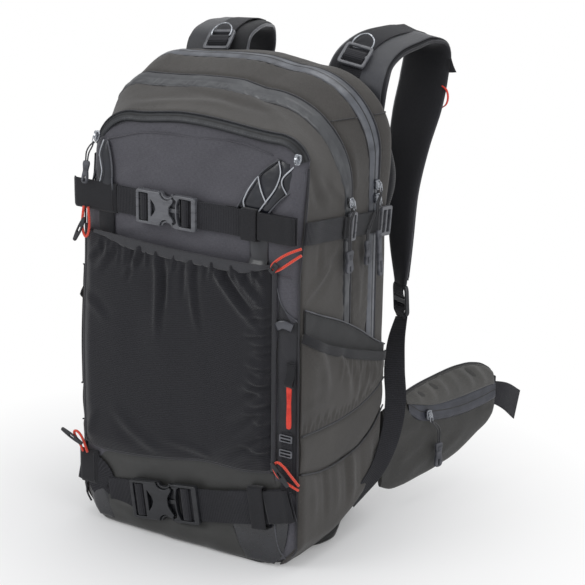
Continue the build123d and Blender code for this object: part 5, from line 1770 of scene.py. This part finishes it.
def pull(label, at, cord, grip, aside, w, body, material):
    """Zip pull: steel link, a doubled cord and a waisted grip, hanging from the slider's pin."""
    at = at @ move(0, -0.6, 6.6)
    link = loop_tube(at, [(1.4, 0.6, -0.4), (1.9, -2.4, 0), (1.5, -6.4, 0.2), (0, -7.4, 0.2),
        (-1.5, -6.4, 0.2), (-1.9, -2.4, 0), (-1.4, 0.6, -0.4), (0, 1.2, -0.6), (1.4, 0.6, -0.4)], 0.55)
    settle(built(label + "_link", [link], STEEL), body=body)
    low = -cord - 4
    sway = aside
    strands = []
    for side in (-1, 1):
        strands.append(loop_tube(at, [(side * 0.3, -6.6, 0.9), (side * 1.6 + sway * 0.35, -10, 0.5),
            (side * 1.7 + sway, -16 - abs(sway) * 0.5, 0), (side * 1.5 + sway, (low - 16) / 2, 0.2),
            (side * 1.2 + sway, low - 2, 0)], 0.85))
    strands.append(loop_tube(at, [(-0.5, -6.4, 0.9), (0, -5.8, 0.1), (0.5, -6.4, 0.9)], 0.85))
    settle(built(label + "_cord", strands, CORD_BLACK), body=body)
    outline = [(-w * 0.72, low + 0.8), (-w * 0.95, low - 2.5), (-w * 0.62, low - grip * 0.42),
        (-w * 0.82, low - grip * 0.62), (-w * 0.95, low - grip + 2.5), (-w * 0.5, low - grip - 0.2)]
    outline = rounded([(x + sway, y) for x, y in outline] + [(-x + sway, y) for x, y in reversed(outline)],
        1.6, 3)
    slot = [(x + sway, y + low - grip * 0.8) for x, y in capsule(2.2, grip * 0.26, 4)]
    parts = [plate(outline, [slot], -1.9, 1.9, 1.1, at)]
    for i in range(3):
        parts.append(plate([(x + sway, y + low - 4.2 - i * 2.3) for x, y in capsule(4.4, 1.1, 3)], [], 1.4,
            2.4, 0.4, at))
    piece = soften(built(label + "_grip", parts, material), 50)
    settle(piece, body=body)
    return piece


def sliders():
    lean = math.degrees(math.atan2(15, 74))
    lean_at = frame_at((0, -90, 410), (1, 0, 0),
        (0, -math.cos(math.radians(lean)), math.sin(math.radians(lean))))
    side_x = 145 + 1.4 + 0.3
    places = {
        "main_low": frame_at((side_x, 59, 385), (0, 1, 0), (1, 0, 0)),
        "main_high": frame_at((side_x, 59, 400), (0, 1, 0), (1, 0, 0)),
        "front": frame_at((side_x + 0.9, 2, 393), (0, 1, 0), (1, 0, 0)),
        "goggle": lean_at @ move(-117.5, 36.5, 1.6),
        "goggle_end": lean_at @ move(137.5, 46, 2.4),
        "wing": WING @ move(55, 107, 1.7),
    }
    pulls = {"main_low": (36, 27, -27, 5), "main_high": (44, 50, -9, 4.8), "front": (46, 24, -9, 7.4),
        "goggle": (24, 24, -7, 4.6), "wing": (33, 29, 13, 6.2)}
    for label, at in places.items():
        runner = label + "_runner"
        piece = soften(built(label + "_slider_body", slider_parts(at), STEEL), 50)
        settle(piece, [label + "_slider"], runner)
        if label in pulls:
            hang = turn(-3.8, "X") if label == "main_high" else move(0, 0, 0)
            piece = pull(label, at @ hang, *pulls[label], label + "_tag", GRIP)
            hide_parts(label + "_pull")


# ---- padded pieces
def co_of(piece):
    co = np.empty(len(piece.data.vertices) * 3)
    piece.data.vertices.foreach_get("co", co)
    return co.reshape(-1, 3) / MM


def set_co(piece, co):
    piece.data.vertices.foreach_set("co", (co * MM).ravel())
    piece.data.update()


def inflate(name, part, material, voxel, cap):
    """A padded piece: remeshed, blown up a little by cloth pressure, capped, and smoothed."""
    piece = make_mesh(name, part[0], part[1], material)
    select_only(piece)
    remesh = piece.modifiers.new("remesh", "REMESH")
    remesh.mode = "VOXEL"
    remesh.voxel_size = voxel
    bpy.ops.object.modifier_apply(modifier="remesh")
    ease = piece.modifiers.new("ease", "SMOOTH")
    ease.iterations = 4
    bpy.ops.object.modifier_apply(modifier="ease")
    start = co_of(piece)
    cloth = piece.modifiers.new("cloth", "CLOTH")
    cloth.settings.use_pressure = True
    cloth.settings.uniform_pressure_force = 4
    cloth.settings.effector_weights.gravity = 0
    cloth.settings.tension_stiffness = cloth.settings.compression_stiffness = 20
    cloth.settings.bending_stiffness = 0.4
    cloth.point_cache.frame_start, cloth.point_cache.frame_end = 1, 20
    for step in range(1, 21):
        bpy.context.scene.frame_set(step)
    bpy.ops.object.modifier_apply(modifier="cloth")
    bpy.context.scene.frame_set(1)
    moved = co_of(piece) - start
    far = np.linalg.norm(moved, axis=1, keepdims=True)
    set_co(piece, start + moved * np.minimum(1, cap / np.maximum(far, 1e-9)))
    rounder = piece.modifiers.new("rounder", "SUBSURF")
    rounder.levels = rounder.render_levels = 1
    bpy.ops.object.modifier_apply(modifier="rounder")
    piece.data.shade_smooth()
    piece.select_set(False)
    return piece


def mirror_piece(piece, name):
    """A copy of a piece on the left side, with its own mesh."""
    copy = linked(name, piece.data.copy())
    co = co_of(copy)
    co[:, 0] *= -1
    set_co(copy, co)
    copy.data.flip_normals()
    return copy


def slab(outline, y0, y1, inset=3):
    """Pad blank between two depths from an outline in (x, z), chamfered at its back edge."""
    pts = np.array(outline)
    middle = pts.mean(axis=0)
    small = middle + (pts - middle) * (1 - inset / np.abs(pts - middle).max())
    n = len(pts)
    rings = [(pts, y0), (pts, y0 + (y1 - y0) * 0.55), (small, y1)]
    verts = [(x, y, z) for r, y in rings for x, z in r]
    faces = []
    for k in (0, 1):
        for i in range(n):
            j = (i + 1) % n
            faces.append((k * n + i, k * n + j, (k + 1) * n + j, (k + 1) * n + i))
    faces.append(tuple(range(n)))
    faces.append(tuple(2 * n + i for i in reversed(range(n))))
    faces = [tuple(reversed(f)) for f in faces]
    return np.array(verts, float), faces, np.zeros((len(verts), 2))


def back_system():
    # plate of mesh cloth behind the pads
    xs, zs = graded(-118, 118, 4, 1.6, 6), graded(41, 495, 4, 1.6, 6)
    X, Z = cross_grid(xs, zs)
    corner = np.clip(np.hypot(np.clip(np.abs(X) - 94, 0, None), np.clip(np.abs(Z - 268) - 203, 0, None)) - 18,
        0, 6)
    gap = np.minimum(118 - np.abs(X), np.minimum(Z - 41, 495 - Z))
    Y = 92.3 - 1.8 * bell(gap / 4) - corner * 0.3 + 0.3 * cloth_noise(X, Z, 40, 131)
    P = points(X, Y, Z)
    settle(cloth_piece("back_panel_mesh", P, 1.8, MESH_CLOTH), ["back_panel"])
    # tall pads each side of the spine channel
    outline = rounded([(21, 168), (108, 168), (109, 420), (98, 484), (38, 484), (21, 440)],
        [24, 24, 30, 20, 20, 20], 7)
    pad = inflate("back_pad_right", slab(outline, 93.4, 101.5, 6), MESH_CLOTH, 0.005, 6)
    co = co_of(pad)
    out = smooth((co[:, 1] - 97) / 4)
    for z in (232, 296, 360, 424):
        co[:, 1] -= out * 3.4 * bell((co[:, 2] - z - 0.10 * (co[:, 0] - 60)) / 5)
    co[:, 1] = np.minimum(co[:, 1], 106.5)
    co[:, 1] = np.maximum(co[:, 1], 92.6)
    set_co(pad, co)
    settle(pad, ["back_pads"])
    other = mirror_piece(pad, "back_pad_left")
    settle(other)
    # lumbar pad
    outline = rounded([(-130, 48), (130, 48), (131, 100), (112, 150), (-112, 150), (-131, 100)], 16, 6)
    pad = inflate("lumbar_cushion", slab(outline, 93.2, 107, 10), MESH_CLOTH, 0.0055, 6)
    co = co_of(pad)
    out = smooth((co[:, 1] - 99) / 5)
    for x in (-62, 0, 62):
        co[:, 1] -= out * 4 * bell((co[:, 0] - x) / 6)
    co[:, 1] = np.clip(co[:, 1], 92.6, 111.5)
    set_co(pad, co)
    settle(pad, ["lumbar_pad"])
    # binding round the back panel
    line = rounded([(-117, 42), (117, 42), (117, 494), (-117, 494)], 26, 10)
    path = np.array([(x, 92.4, z) for x, z in line])
    part = sweep_part(path, round_section(1.7), BACKWARD, closed=True)
    settle(part_piece("back_binding", part, BINDING_CLOTH))
    # padded edges that swell beside the shoulder blades
    for side in (1, -1):
        zs = np.linspace(156, 452, 80)
        swell = bell((zs - 398) / 46)
        path = points(123 + 15 * swell, 98.5 + 2.5 * swell, zs)
        taper = np.clip(np.minimum(zs - 155.5, 452.5 - zs) / 14, 0.03, 1) ** 0.5
        sections = np.array([round_section((6.4 + 1.8 * b) * t, 14) for b, t in zip(swell, taper)])
        piece = sided("back_edge_pad", sweep_part(path, sections, BACKWARD), MESH_CLOTH, side)
        settle(piece)
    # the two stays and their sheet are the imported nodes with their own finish
    for node, material in (("frame_sheet", SHEET_PLASTIC), ("frame_stays", ALLOY)):
        obj = bpy.data.objects[node]
        obj.data.materials.clear()
        obj.data.materials.append(material)


# ---- shoulder harness
SHOULDER_FOOT = [((88.5, 197, 455), (151, 196, 455)), ((98, 172, 417), (150, 172, 417)),
    ((108, 153, 370), (148, 153, 370)), ((115, 148, 314.1), (147, 144, 314.1)),
    ((122.5, 151, 264), (145.5, 135, 264))]
SHOULDER = {1: [((60, 98, 478), (132, 96, 462)), ((57, 104, 507), (132, 100, 487)),
    ((58, 115, 523), (128, 117, 508)), ((62, 139, 535), (128, 151, 525)), ((69, 173, 541), (134, 184, 530)),
    ((78, 205, 541), (139, 208, 528)), ((84, 223, 523), (146, 222, 514)),
    ((87, 214, 490), (149, 212, 486))] + SHOULDER_FOOT,
    -1: [((48, 97, 478), (132, 97, 478)), ((48, 103, 506), (133, 101, 504)),
    ((52, 113, 525), (133, 110, 523)), ((59, 142, 534), (134, 139, 531)), ((70, 177, 532), (138, 175, 528)),
    ((80, 205, 525), (142, 205, 520)), ((85, 218, 505), (145, 217, 500)),
    ((87, 211, 479), (149, 210, 475))] + SHOULDER_FOOT}
LOWER = [(137, 142, 226, 24, 32), (140, 126, 203, 24, 12), (149, 107, 174, 24, -16), (156, 99, 140, 24, -34),
    (157, 86, 100, 24, -52), (153.5, 66, 68, 24, -74), (146, 46, 48, 24, -90), (137, 33, 33, 24, -90)]


def harness_frames(stations, lift=0, share=0.5):
    """Places across a band's stations, with directions along and out, and widths.

    A station is a pair of edge points, or a middle point with a width and a twist.
    """
    pairs = len(stations[0]) == 2
    if pairs:
        inner, outer = (np.array([s[k] for s in stations], float) for k in (0, 1))
        P, across, width = inner + (outer - inner) * share, outer - inner, np.linalg.norm(outer - inner,
            axis=1)
    else:
        P, across, width = np.array([s[:3] for s in stations],
            float), np.array([1, 0, 0]), np.array([s[3] for s in stations])
    along = np.concatenate([P[1:], P[-1:]]) - np.concatenate([P[:1], P[:-1]])
    along = unit_rows(along)
    across = across - along * np.sum(across * along, axis=1, keepdims=True)
    across = unit_rows(across)
    if not pairs:
        for i, s in enumerate(stations):
            across[i] = Matrix.Rotation(math.radians(s[4]), 3, Vector(along[i])) @ Vector(across[i])
    out = np.cross(across, along)
    return P + out * lift, along, out, width


def smooth_band(stations, step, lift=0, share=0.5):
    """Finely spaced centres, out vectors and widths of a band through its stations."""
    P, _, out, wide = harness_frames(stations, lift, share)
    run = run_of(P)
    t = np.linspace(0, run[-1], int(run[-1] / step) + 1)
    line, ups = (points(*(through(run, column, t) for column in v.T)) for v in (P, out))
    return line, ups, through(run, wide, t), t


def pad_section(width, thick):
    """Section of a padded strap: full in the middle, pinched at its bound edges."""
    xs = np.concatenate([np.linspace(-1, -0.8, 6), np.linspace(-0.7, 0.7, 13), np.linspace(0.8, 1, 6)])
    top = np.maximum(thick * 0.5 * (1 - np.abs(xs) ** 5) ** 0.5, 1.2)
    top = np.where(np.abs(xs) > 0.985, 0.48, top)
    upper = points(xs * width / 2, top)
    return np.concatenate([upper, upper[::-1] * (1, -1)])[::-1]


def ladder_lock(name, outline, windows, half_thick, bevel, at, material, side, stands_for):
    """A plate with two windows that webbing weaves through."""
    part = plate(outline, [rectangle(*w) for w in windows], -half_thick, half_thick, bevel, at)
    settle(soften(sided(name, part, material, side)), [stands_for] if side > 0 else [])


def shoulder(side):
    line, ups, width, t = smooth_band(SHOULDER[side], 4)
    total = t[-1]
    thick = 12 * (1 - 0.35 * smooth((t - total * 0.8) / (total * 0.2))) * (0.7 + 0.3 * smooth(t / 20))
    sections = []
    for i, (w, h) in enumerate(zip(width, thick)):
        sec = pad_section(w - 3, h - 0.8)
        x = sec[:, 0] / (w / 2)
        top = sec[:, 1] > 0
        wave = 0.5 * math.sin(t[i] / 19) + 0.4 * math.sin(t[i] / 7.3 + 2 * side)
        sec[:, 1] += np.where(top, wave * bell((np.abs(x) - 0.55) / 0.25), 0)
        sec[:, 1] -= np.where(top, 1.4 * bell((np.abs(x) - 0.46) / 0.05), 0)
        sections.append(sec)
    part = sweep_part(line, np.array(sections), ups)
    piece = sided("shoulder_pad", part, HARNESS, side)
    settle(piece, ["shoulder_strap_" + TAG[side]])
    # bound edges
    across = np.cross(np.gradient(line, axis=0), ups)
    across = unit_rows(across)
    for label, sign in (("outer", 1), ("inner", -1)):
        edge = line + across * sign * (width[:, None] / 2 - 2.2)
        part = sweep_part(edge, round_section(1.9), ups)
        settle_side(f"shoulder_binding_{label}", part, PIPING if label == "inner" else BINDING_CLOTH, side)
    # webbing down the middle of the pad
    pick = (t > total * 0.33) & (t < total - 3)
    run = line[pick] + unit_rows(ups[pick]) * (thick[pick, None] / 2 + 0.6)
    part = sweep_part(run, band_section(20, 1.3), ups[pick])
    settle_side("shoulder_webbing", part, WEB_BLACK, side)
    # lighter facing on the outer half of the strap's outer face
    pick = (t > 8) & (t < total - 6)
    face = unit_rows(ups)[pick] * (thick[pick, None] / 2 - 0.7)
    run = line[pick] + face + across[pick] * width[pick, None] * 0.225
    sections = np.array([band_section(w * 0.44, 1.5, 0.3) for w in width[pick]])
    settle_side("shoulder_facing", sweep_part(run, sections, ups[pick]), HARNESS_SATIN, side)
    # load lifter webbing and its ladder-lock
    lift_line, lift_ups, _, lt = smooth_band(SHOULDER[side][1:6], 2, 7.4, 0.4)
    swell = 1.6 * bell((lt - 24) / 7)
    unit_ups = unit_rows(lift_ups)
    part = sweep_part(lift_line + unit_ups * swell[:, None], band_section(25, WEB_THICK), lift_ups)
    settle_side("load_lifter", part, WEB_BLACK, side, "load_lifters")
    P, along, out, _ = harness_frames(SHOULDER[side], 10.5, 0.4)
    direction = Vector(along[2])
    at = frame_at(Vector(P[2]) + direction * (1 if side > 0 else -11), direction, Vector(out[2]))
    ring_at = at if side > 0 else at @ move(-9, 0, 3.6)
    ring = loop_tube(ring_at, [(13, -11, -1.6), (12, 0, -1.8), (13, 11, -1.6), (20, 12, -1.2), (29, 8, -1),
        (33, 0, -1), (29, -8, -1), (20, -12, -1.2), (13, -11, -1.6)], 1, 8)
    settle_side("lifter_ring", ring, STEEL, side)
    outline = rounded([(-15, -15), (-11, -16.5), (11, -16.5), (15, -15), (15, 15), (11, 16.5), (-11, 16.5),
        (-15, 15)], 3, 4)
    windows = ((-11.2, -2.2, -12.8, 12.8, 1.4), (2.2, 11.2, -12.8, 12.8, 1.4))
    ladder_lock("lifter_ladder_lock", outline, windows, 2, 1.1, at, BUCKLE, side, "lifter_buckles")
    settle_side("lifter_hump", hump(-7, 0, 7, -2.4, 2.4, at, 24.4), WEB_BLACK, side)
    # adjuster between the pad and the lower webbing
    top, foot = Vector((134, 143, 264)), Vector(LOWER[0][:3])
    direction = (foot - top).normalized()
    across0 = Vector((math.cos(0.58), -math.sin(0.58), 0))
    across0 = (across0 - direction * direction.dot(across0)).normalized()
    length = (foot - top).length - 1.6
    at = frame_at((top + foot) * 0.5, direction, across0.cross(direction))
    end = length / 2
    outline = rounded([(-end, -14), (-end + 5, -16), (end - 4, -16), (end, -12), (end, 12), (end - 4, 16),
        (-end + 5, 16), (-end, 14)], 3.4, 4)
    windows = ((-end + 5, -3, -12.4, 12.4, 1.5), (3, end - 5, -12.4, 12.4, 1.5))
    ladder_lock("adjuster_ladder_lock", outline, windows, 2.5, 1.3, at, BUCKLE_DARK, side, "strap_adjusters")
    weave = spaced([(-end - 5, -0.4), (-end + 7, -3.2), (-6, -2.4), (0, 3.4), (7, 1), (11, -2.6),
        (end + 3, -0.4)], 1.2)
    path = placed(at, [(x, 0, h) for x, h in weave])
    part = sweep_part(path, band_section(23.6, WEB_THICK), ups_for(turned(at, BACKWARD), path))
    settle_side("adjuster_weave", part, WEB_BLACK, side)
    # lower webbing
    line, ups, width, t = smooth_band(LOWER, 3)
    part = sweep_part(line, band_section(24, WEB_THICK), ups)
    settle_side("lower_strap", part, WEB_BLACK, side, "lower_webbing")


def strap_details():
    """A small woven tab and a tape loop on the outer edge of the right shoulder strap."""
    high = np.array([(149, 216.5, 512), (149.2, 216.5, 505), (149.2, 215.5, 496)])
    low = np.array([(149.6, 216.5, 512), (153.6, 216.5, 504), (157.6, 216.5, 497)])
    v = np.linspace(0, 1, 7)[None, :, None]
    rows = np.linspace(0, 2, 13)
    a, b = (points(*(np.interp(rows, [0, 1, 2], column) for column in edge.T)) for edge in (high, low))
    P = a[:, None] * (1 - v) + b[:, None] * v
    P[..., 1] -= 0.8 * np.sin(v[..., 0] * math.pi)
    settle(cloth_piece("strap_side_tab", P, 1.2, WEB_FINE))
    path = spaced([(145, 207, 482), (150.3, 207, 478), (152.8, 207, 469), (150.6, 207, 461),
        (144, 206.5, 455.5)], 1.4)
    settle(swept("strap_side_loop", path, band_section(3.2, 1.1), ups_for(BACKWARD, path), RUBBER))


# ---- hip wings
WING_TURN = math.radians(16.5)
WING = frame_at((150, 104, 0), (math.sin(WING_TURN), math.cos(WING_TURN), 0),
    (math.cos(WING_TURN), -math.sin(WING_TURN), 0))
WING_LOW = ([-14, 3, 19, 53, 91, 112, 147, 166, 173], [33, 25, 23, 25, 31, 36, 56, 71, 82])
WING_HIGH = ([-14, 3, 17, 39, 72, 117, 141, 158, 168, 173],
    [126, 131, 134, 138.5, 143.5, 147.5, 146, 140, 131, 121])
WING_THICK = ([-14, 3, 38, 90, 120, 150, 166, 173], [9, 13, 24, 27.5, 27.5, 21.5, 14, 10])


def wing_face(s, z, lift=0):
    """A point on the wing's outer face at a distance along it and a height."""
    low, high, thick = through(*WING_LOW, s), through(*WING_HIGH, s), through(*WING_THICK, s)
    v = np.clip((z - (low + high) / 2) / ((high - low) / 2), -0.999, 0.999)
    edge = np.sqrt(clamp(1 - np.abs(v) ** 3.4)) ** 0.9
    depth = -thick * 0.5 + thick * 0.5 * edge + lift
    return points(s, z, depth)


def on_wing(points):
    m = np.array(WING)
    return points @ m[:3, :3].T + m[:3, 3]


def hip_wing(side):
    s = graded(-14, 173.5, 3, 1, 6)
    angle = np.linspace(0, 2 * math.pi, 73)[:-1]
    S, A = cross_grid(s, angle)
    low, high, thick = through(*WING_LOW, S), through(*WING_HIGH, S), through(*WING_THICK, S)
    tip = np.clip((173.5 - S) / 5, 0.02, 1) ** 0.5
    c, d = np.cos(A), np.sin(A)
    v = np.sign(d) * np.abs(d) ** 0.72
    edge = np.sqrt(clamp(1 - np.abs(v) ** 3.4)) ** 0.9 * np.sign(c)
    Z = (low + high) / 2 + (high - low) / 2 * v * (0.9 + 0.1 * tip)
    D = -thick / 2 + thick / 2 * edge * tip
    outer = smooth(c * 2)
    relief = folds(S, Z, [
        (20, 140, 70, 118, 5, 2.6, 4), (44, 146, 96, 120, 5, 2.2, 4), (84, 148, 120, 122, 4, 1.6, 3),
        (118, 146, 150, 122, 4, 1.6, 3), (10, 120, 40, 108, 5, 1.8, 2), (6, 60, 60, 82, 6, 2.2, -3),
        (20, 40, 90, 74, 7, 2, -4), (60, 44, 130, 78, 6, 1.6, -4), (2, 90, 48, 94, 5, 1.6, 2),
    ])
    relief += 0.8 * cloth_noise(S, Z, 26, 141)
    for gap in (14.5, -14.5):
        relief -= 1.2 * bell((Z - 105 - gap - 8 * np.exp(-S / 30)) / 2.2) * smooth((S - 40) / 10)
    D = D + relief * outer
    local = points(S, Z, D)
    P = on_wing(local.reshape(-1, 3))
    n, m = S.shape
    faces = [(i * m + j, (i + 1) * m + j, (i + 1) * m + (j + 1) % m,
        i * m + (j + 1) % m) for i in range(n - 1) for j in range(m)]
    inside_out = signed_volume(P, faces) < 0
    faces.append(tuple(range(m)))
    faces.append(tuple((n - 1) * m + j for j in reversed(range(m))))
    uv = points(S, Z).reshape(-1, 2)
    if inside_out:
        faces = [tuple(reversed(f)) for f in faces]
    piece = sided("hip_pad", (P, faces, uv), HIP_CLOTH, side)
    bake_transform(piece)
    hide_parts("hip_wing_" + TAG[side])

    # piping along the wing's upper and lower seams
    for label, curve, sign in (("high", WING_HIGH, 1), ("low", WING_LOW, -1)):
        ss = np.linspace(30, 168, 70)
        zz = through(*curve, ss)
        th = through(*WING_THICK, ss)
        local = points(ss, zz + sign * 0.2, -th / 2)
        path = on_wing(local)
        part = sweep_part(path, round_section(1.2), np.array(WING)[:3, :3] @ np.array([0, sign, 0]))
        settle_side("hip_piping_" + label, part, BINDING_CLOTH, side, body=TAG[side] + "_wing")


def signed_volume(P, faces):
    """Six times the volume inside four-sided faces; below zero when they face inwards."""
    a, b, c, d = (P[[f[k] for f in faces]] for k in range(4))
    return np.sum(a * np.cross(b, c)) + np.sum(a * np.cross(c, d))


def wing_details():
    # satin zip band on the right wing
    satin = zip_cloth("zip_tape_wing", "23252d", "383a44", 20)
    ss, v = graded(26, 169, 2.4, 1, 4), np.linspace(0, 1, 15)
    S, V = cross_grid(ss, v)
    low = through([26, 44, 72, 110, 150, 169], [114, 101, 95, 92, 95, 98], S)
    high = through([26, 61, 109, 141, 160, 169], [127, 117.5, 116, 118, 119, 118], S)
    local = wing_face(S, low + (high - low) * V, 1.5)
    local[..., 2] += 0.5 * noise2(S / 9, V * 3, 163) - 1.6 * bell(np.minimum(V, 1 - V) / 0.05)
    part = sheet_part(on_wing(local), 1.2)
    uvs = np.array(part[2])
    uvs[:, 1] -= uvs[:, 1].max() / 2
    tape = part_piece("wing_zip_tape", (part[0], part[1], uvs), satin)
    settle(tape, ["wing_zip"], "right_wing")
    for side in (1, -1):
        # gathered cloth over the top of the wing
        ss, v = graded(24, 166, 2.2, 1, 4), np.linspace(0, 1, 19)
        S, V = cross_grid(ss, v)
        low = through([26, 61, 109, 141, 160, 169], [126, 116.5, 115, 117, 118, 117], S)
        high = through(*WING_HIGH, S) - 0.8
        face = wing_face(S, low + (high - low) * np.sin(V * math.pi / 2), 1.6)
        rows = [(s - 12, 150, s + 14, 114, 4.2, 1.5 + 0.5 * math.sin(s), 3) for s in range(36, 176, 21)]
        relief = folds(face[..., 0], face[..., 1], rows) + 0.3 * cloth_noise(S, V * 30, 16, 167)
        face[..., 2] += relief * clamp(np.minimum(V, 1 - V) / 0.15)
        part = sheet_part(on_wing(face), 1.2)
        settle_side("wing_top", part, WING_TOP, side, body=TAG[side] + "_wing")
    for side in (1, -1):
        # tail of webbing at the tip
        s_, t_ = graded(0, 1, 0.04, 0.02, 0.05), np.linspace(0, 1, 14)
        flat = between([(168, 92), (190, 78), (214, 58)], [(168, 119), (196, 110), (223, 93)], s_, t_)
        depth = -6 + 1.6 * np.sin(s_ * math.pi * 1.3)[:, None] + 0 * t_[None]
        local = np.concatenate([flat, depth[..., None]], axis=-1)
        P = on_wing(local)
        facing = 1 if np.sum(normals(P) @ (np.array(WING)[:3, :3] @ np.array([0, 0, 1]))) > 0 else -1
        part = sheet_part(P, 1.4, facing)
        settle(sided("belt_tail", part, WEB_BLACK, side), ["belt_webbing_" + TAG[side]],
            TAG[side] + "_wing")
        # run of webbing behind the wing
        run = spaced([(96, -29.6), (122, -29.6), (151, -24.4), (170, -15.6), (176, -10.5), (175.5, -5.6),
            (171, -5.4)], 1.6)
        local = points(run[:, 0], np.full(len(run), 105), run[:, 1])
        path = on_wing(local)
        part = sweep_part(path, band_section(37, WEB_THICK), ups_for((0, 0, 1), path))
        settle_side("belt_run", part, WEB_BLACK, side, body=TAG[side] + "_wing")
    flip = Matrix(((1, 0, 0, 0), (0, -1, 0, 0), (0, 0, -1, 0), (0, 0, 0, 1)))
    at = WING @ move(92, 105, -28.4) @ flip
    parts = male_half(at, 19, 0.9) + [hump(9.6 * 0.9, 14.6 * 0.9, 20.2 * 0.9, 1.4, 8.2, at, 36)]
    plug = soften(sided("belt_plug", join_parts(parts[:-1]), BUCKLE_DARK, 1))
    settle(plug, ["belt_buckle_male"], "right_wing")
    settle_side("belt_plug_hump", parts[-1], WEB_BLACK, 1, body="right_wing")
    at = WING @ move(58, 105, -28.4) @ turn(180) @ flip
    part = join_parts(female_half(at, 19, 0.9))
    socket = soften(part_piece("belt_socket", mirror_part(part), BUCKLE_DARK))
    settle(socket, ["belt_buckle_female"], "left_wing")
    part = mirror_part(hump(-43.8 * 0.9, -38.4 * 0.9, -33 * 0.9, 1.2, 8.4, at, 36))
    settle(part_piece("belt_socket_hump", part, WEB_BLACK), body="left_wing")


for side, seed in ((1, 151), (-1, 171)):
    side_pocket(side, seed)
    side_foot(side, seed + 9)
    side_strap(side)
    shoulder(side)
    hip_wing(side)
wing_details()
strap_details()
sliders()
back_system()
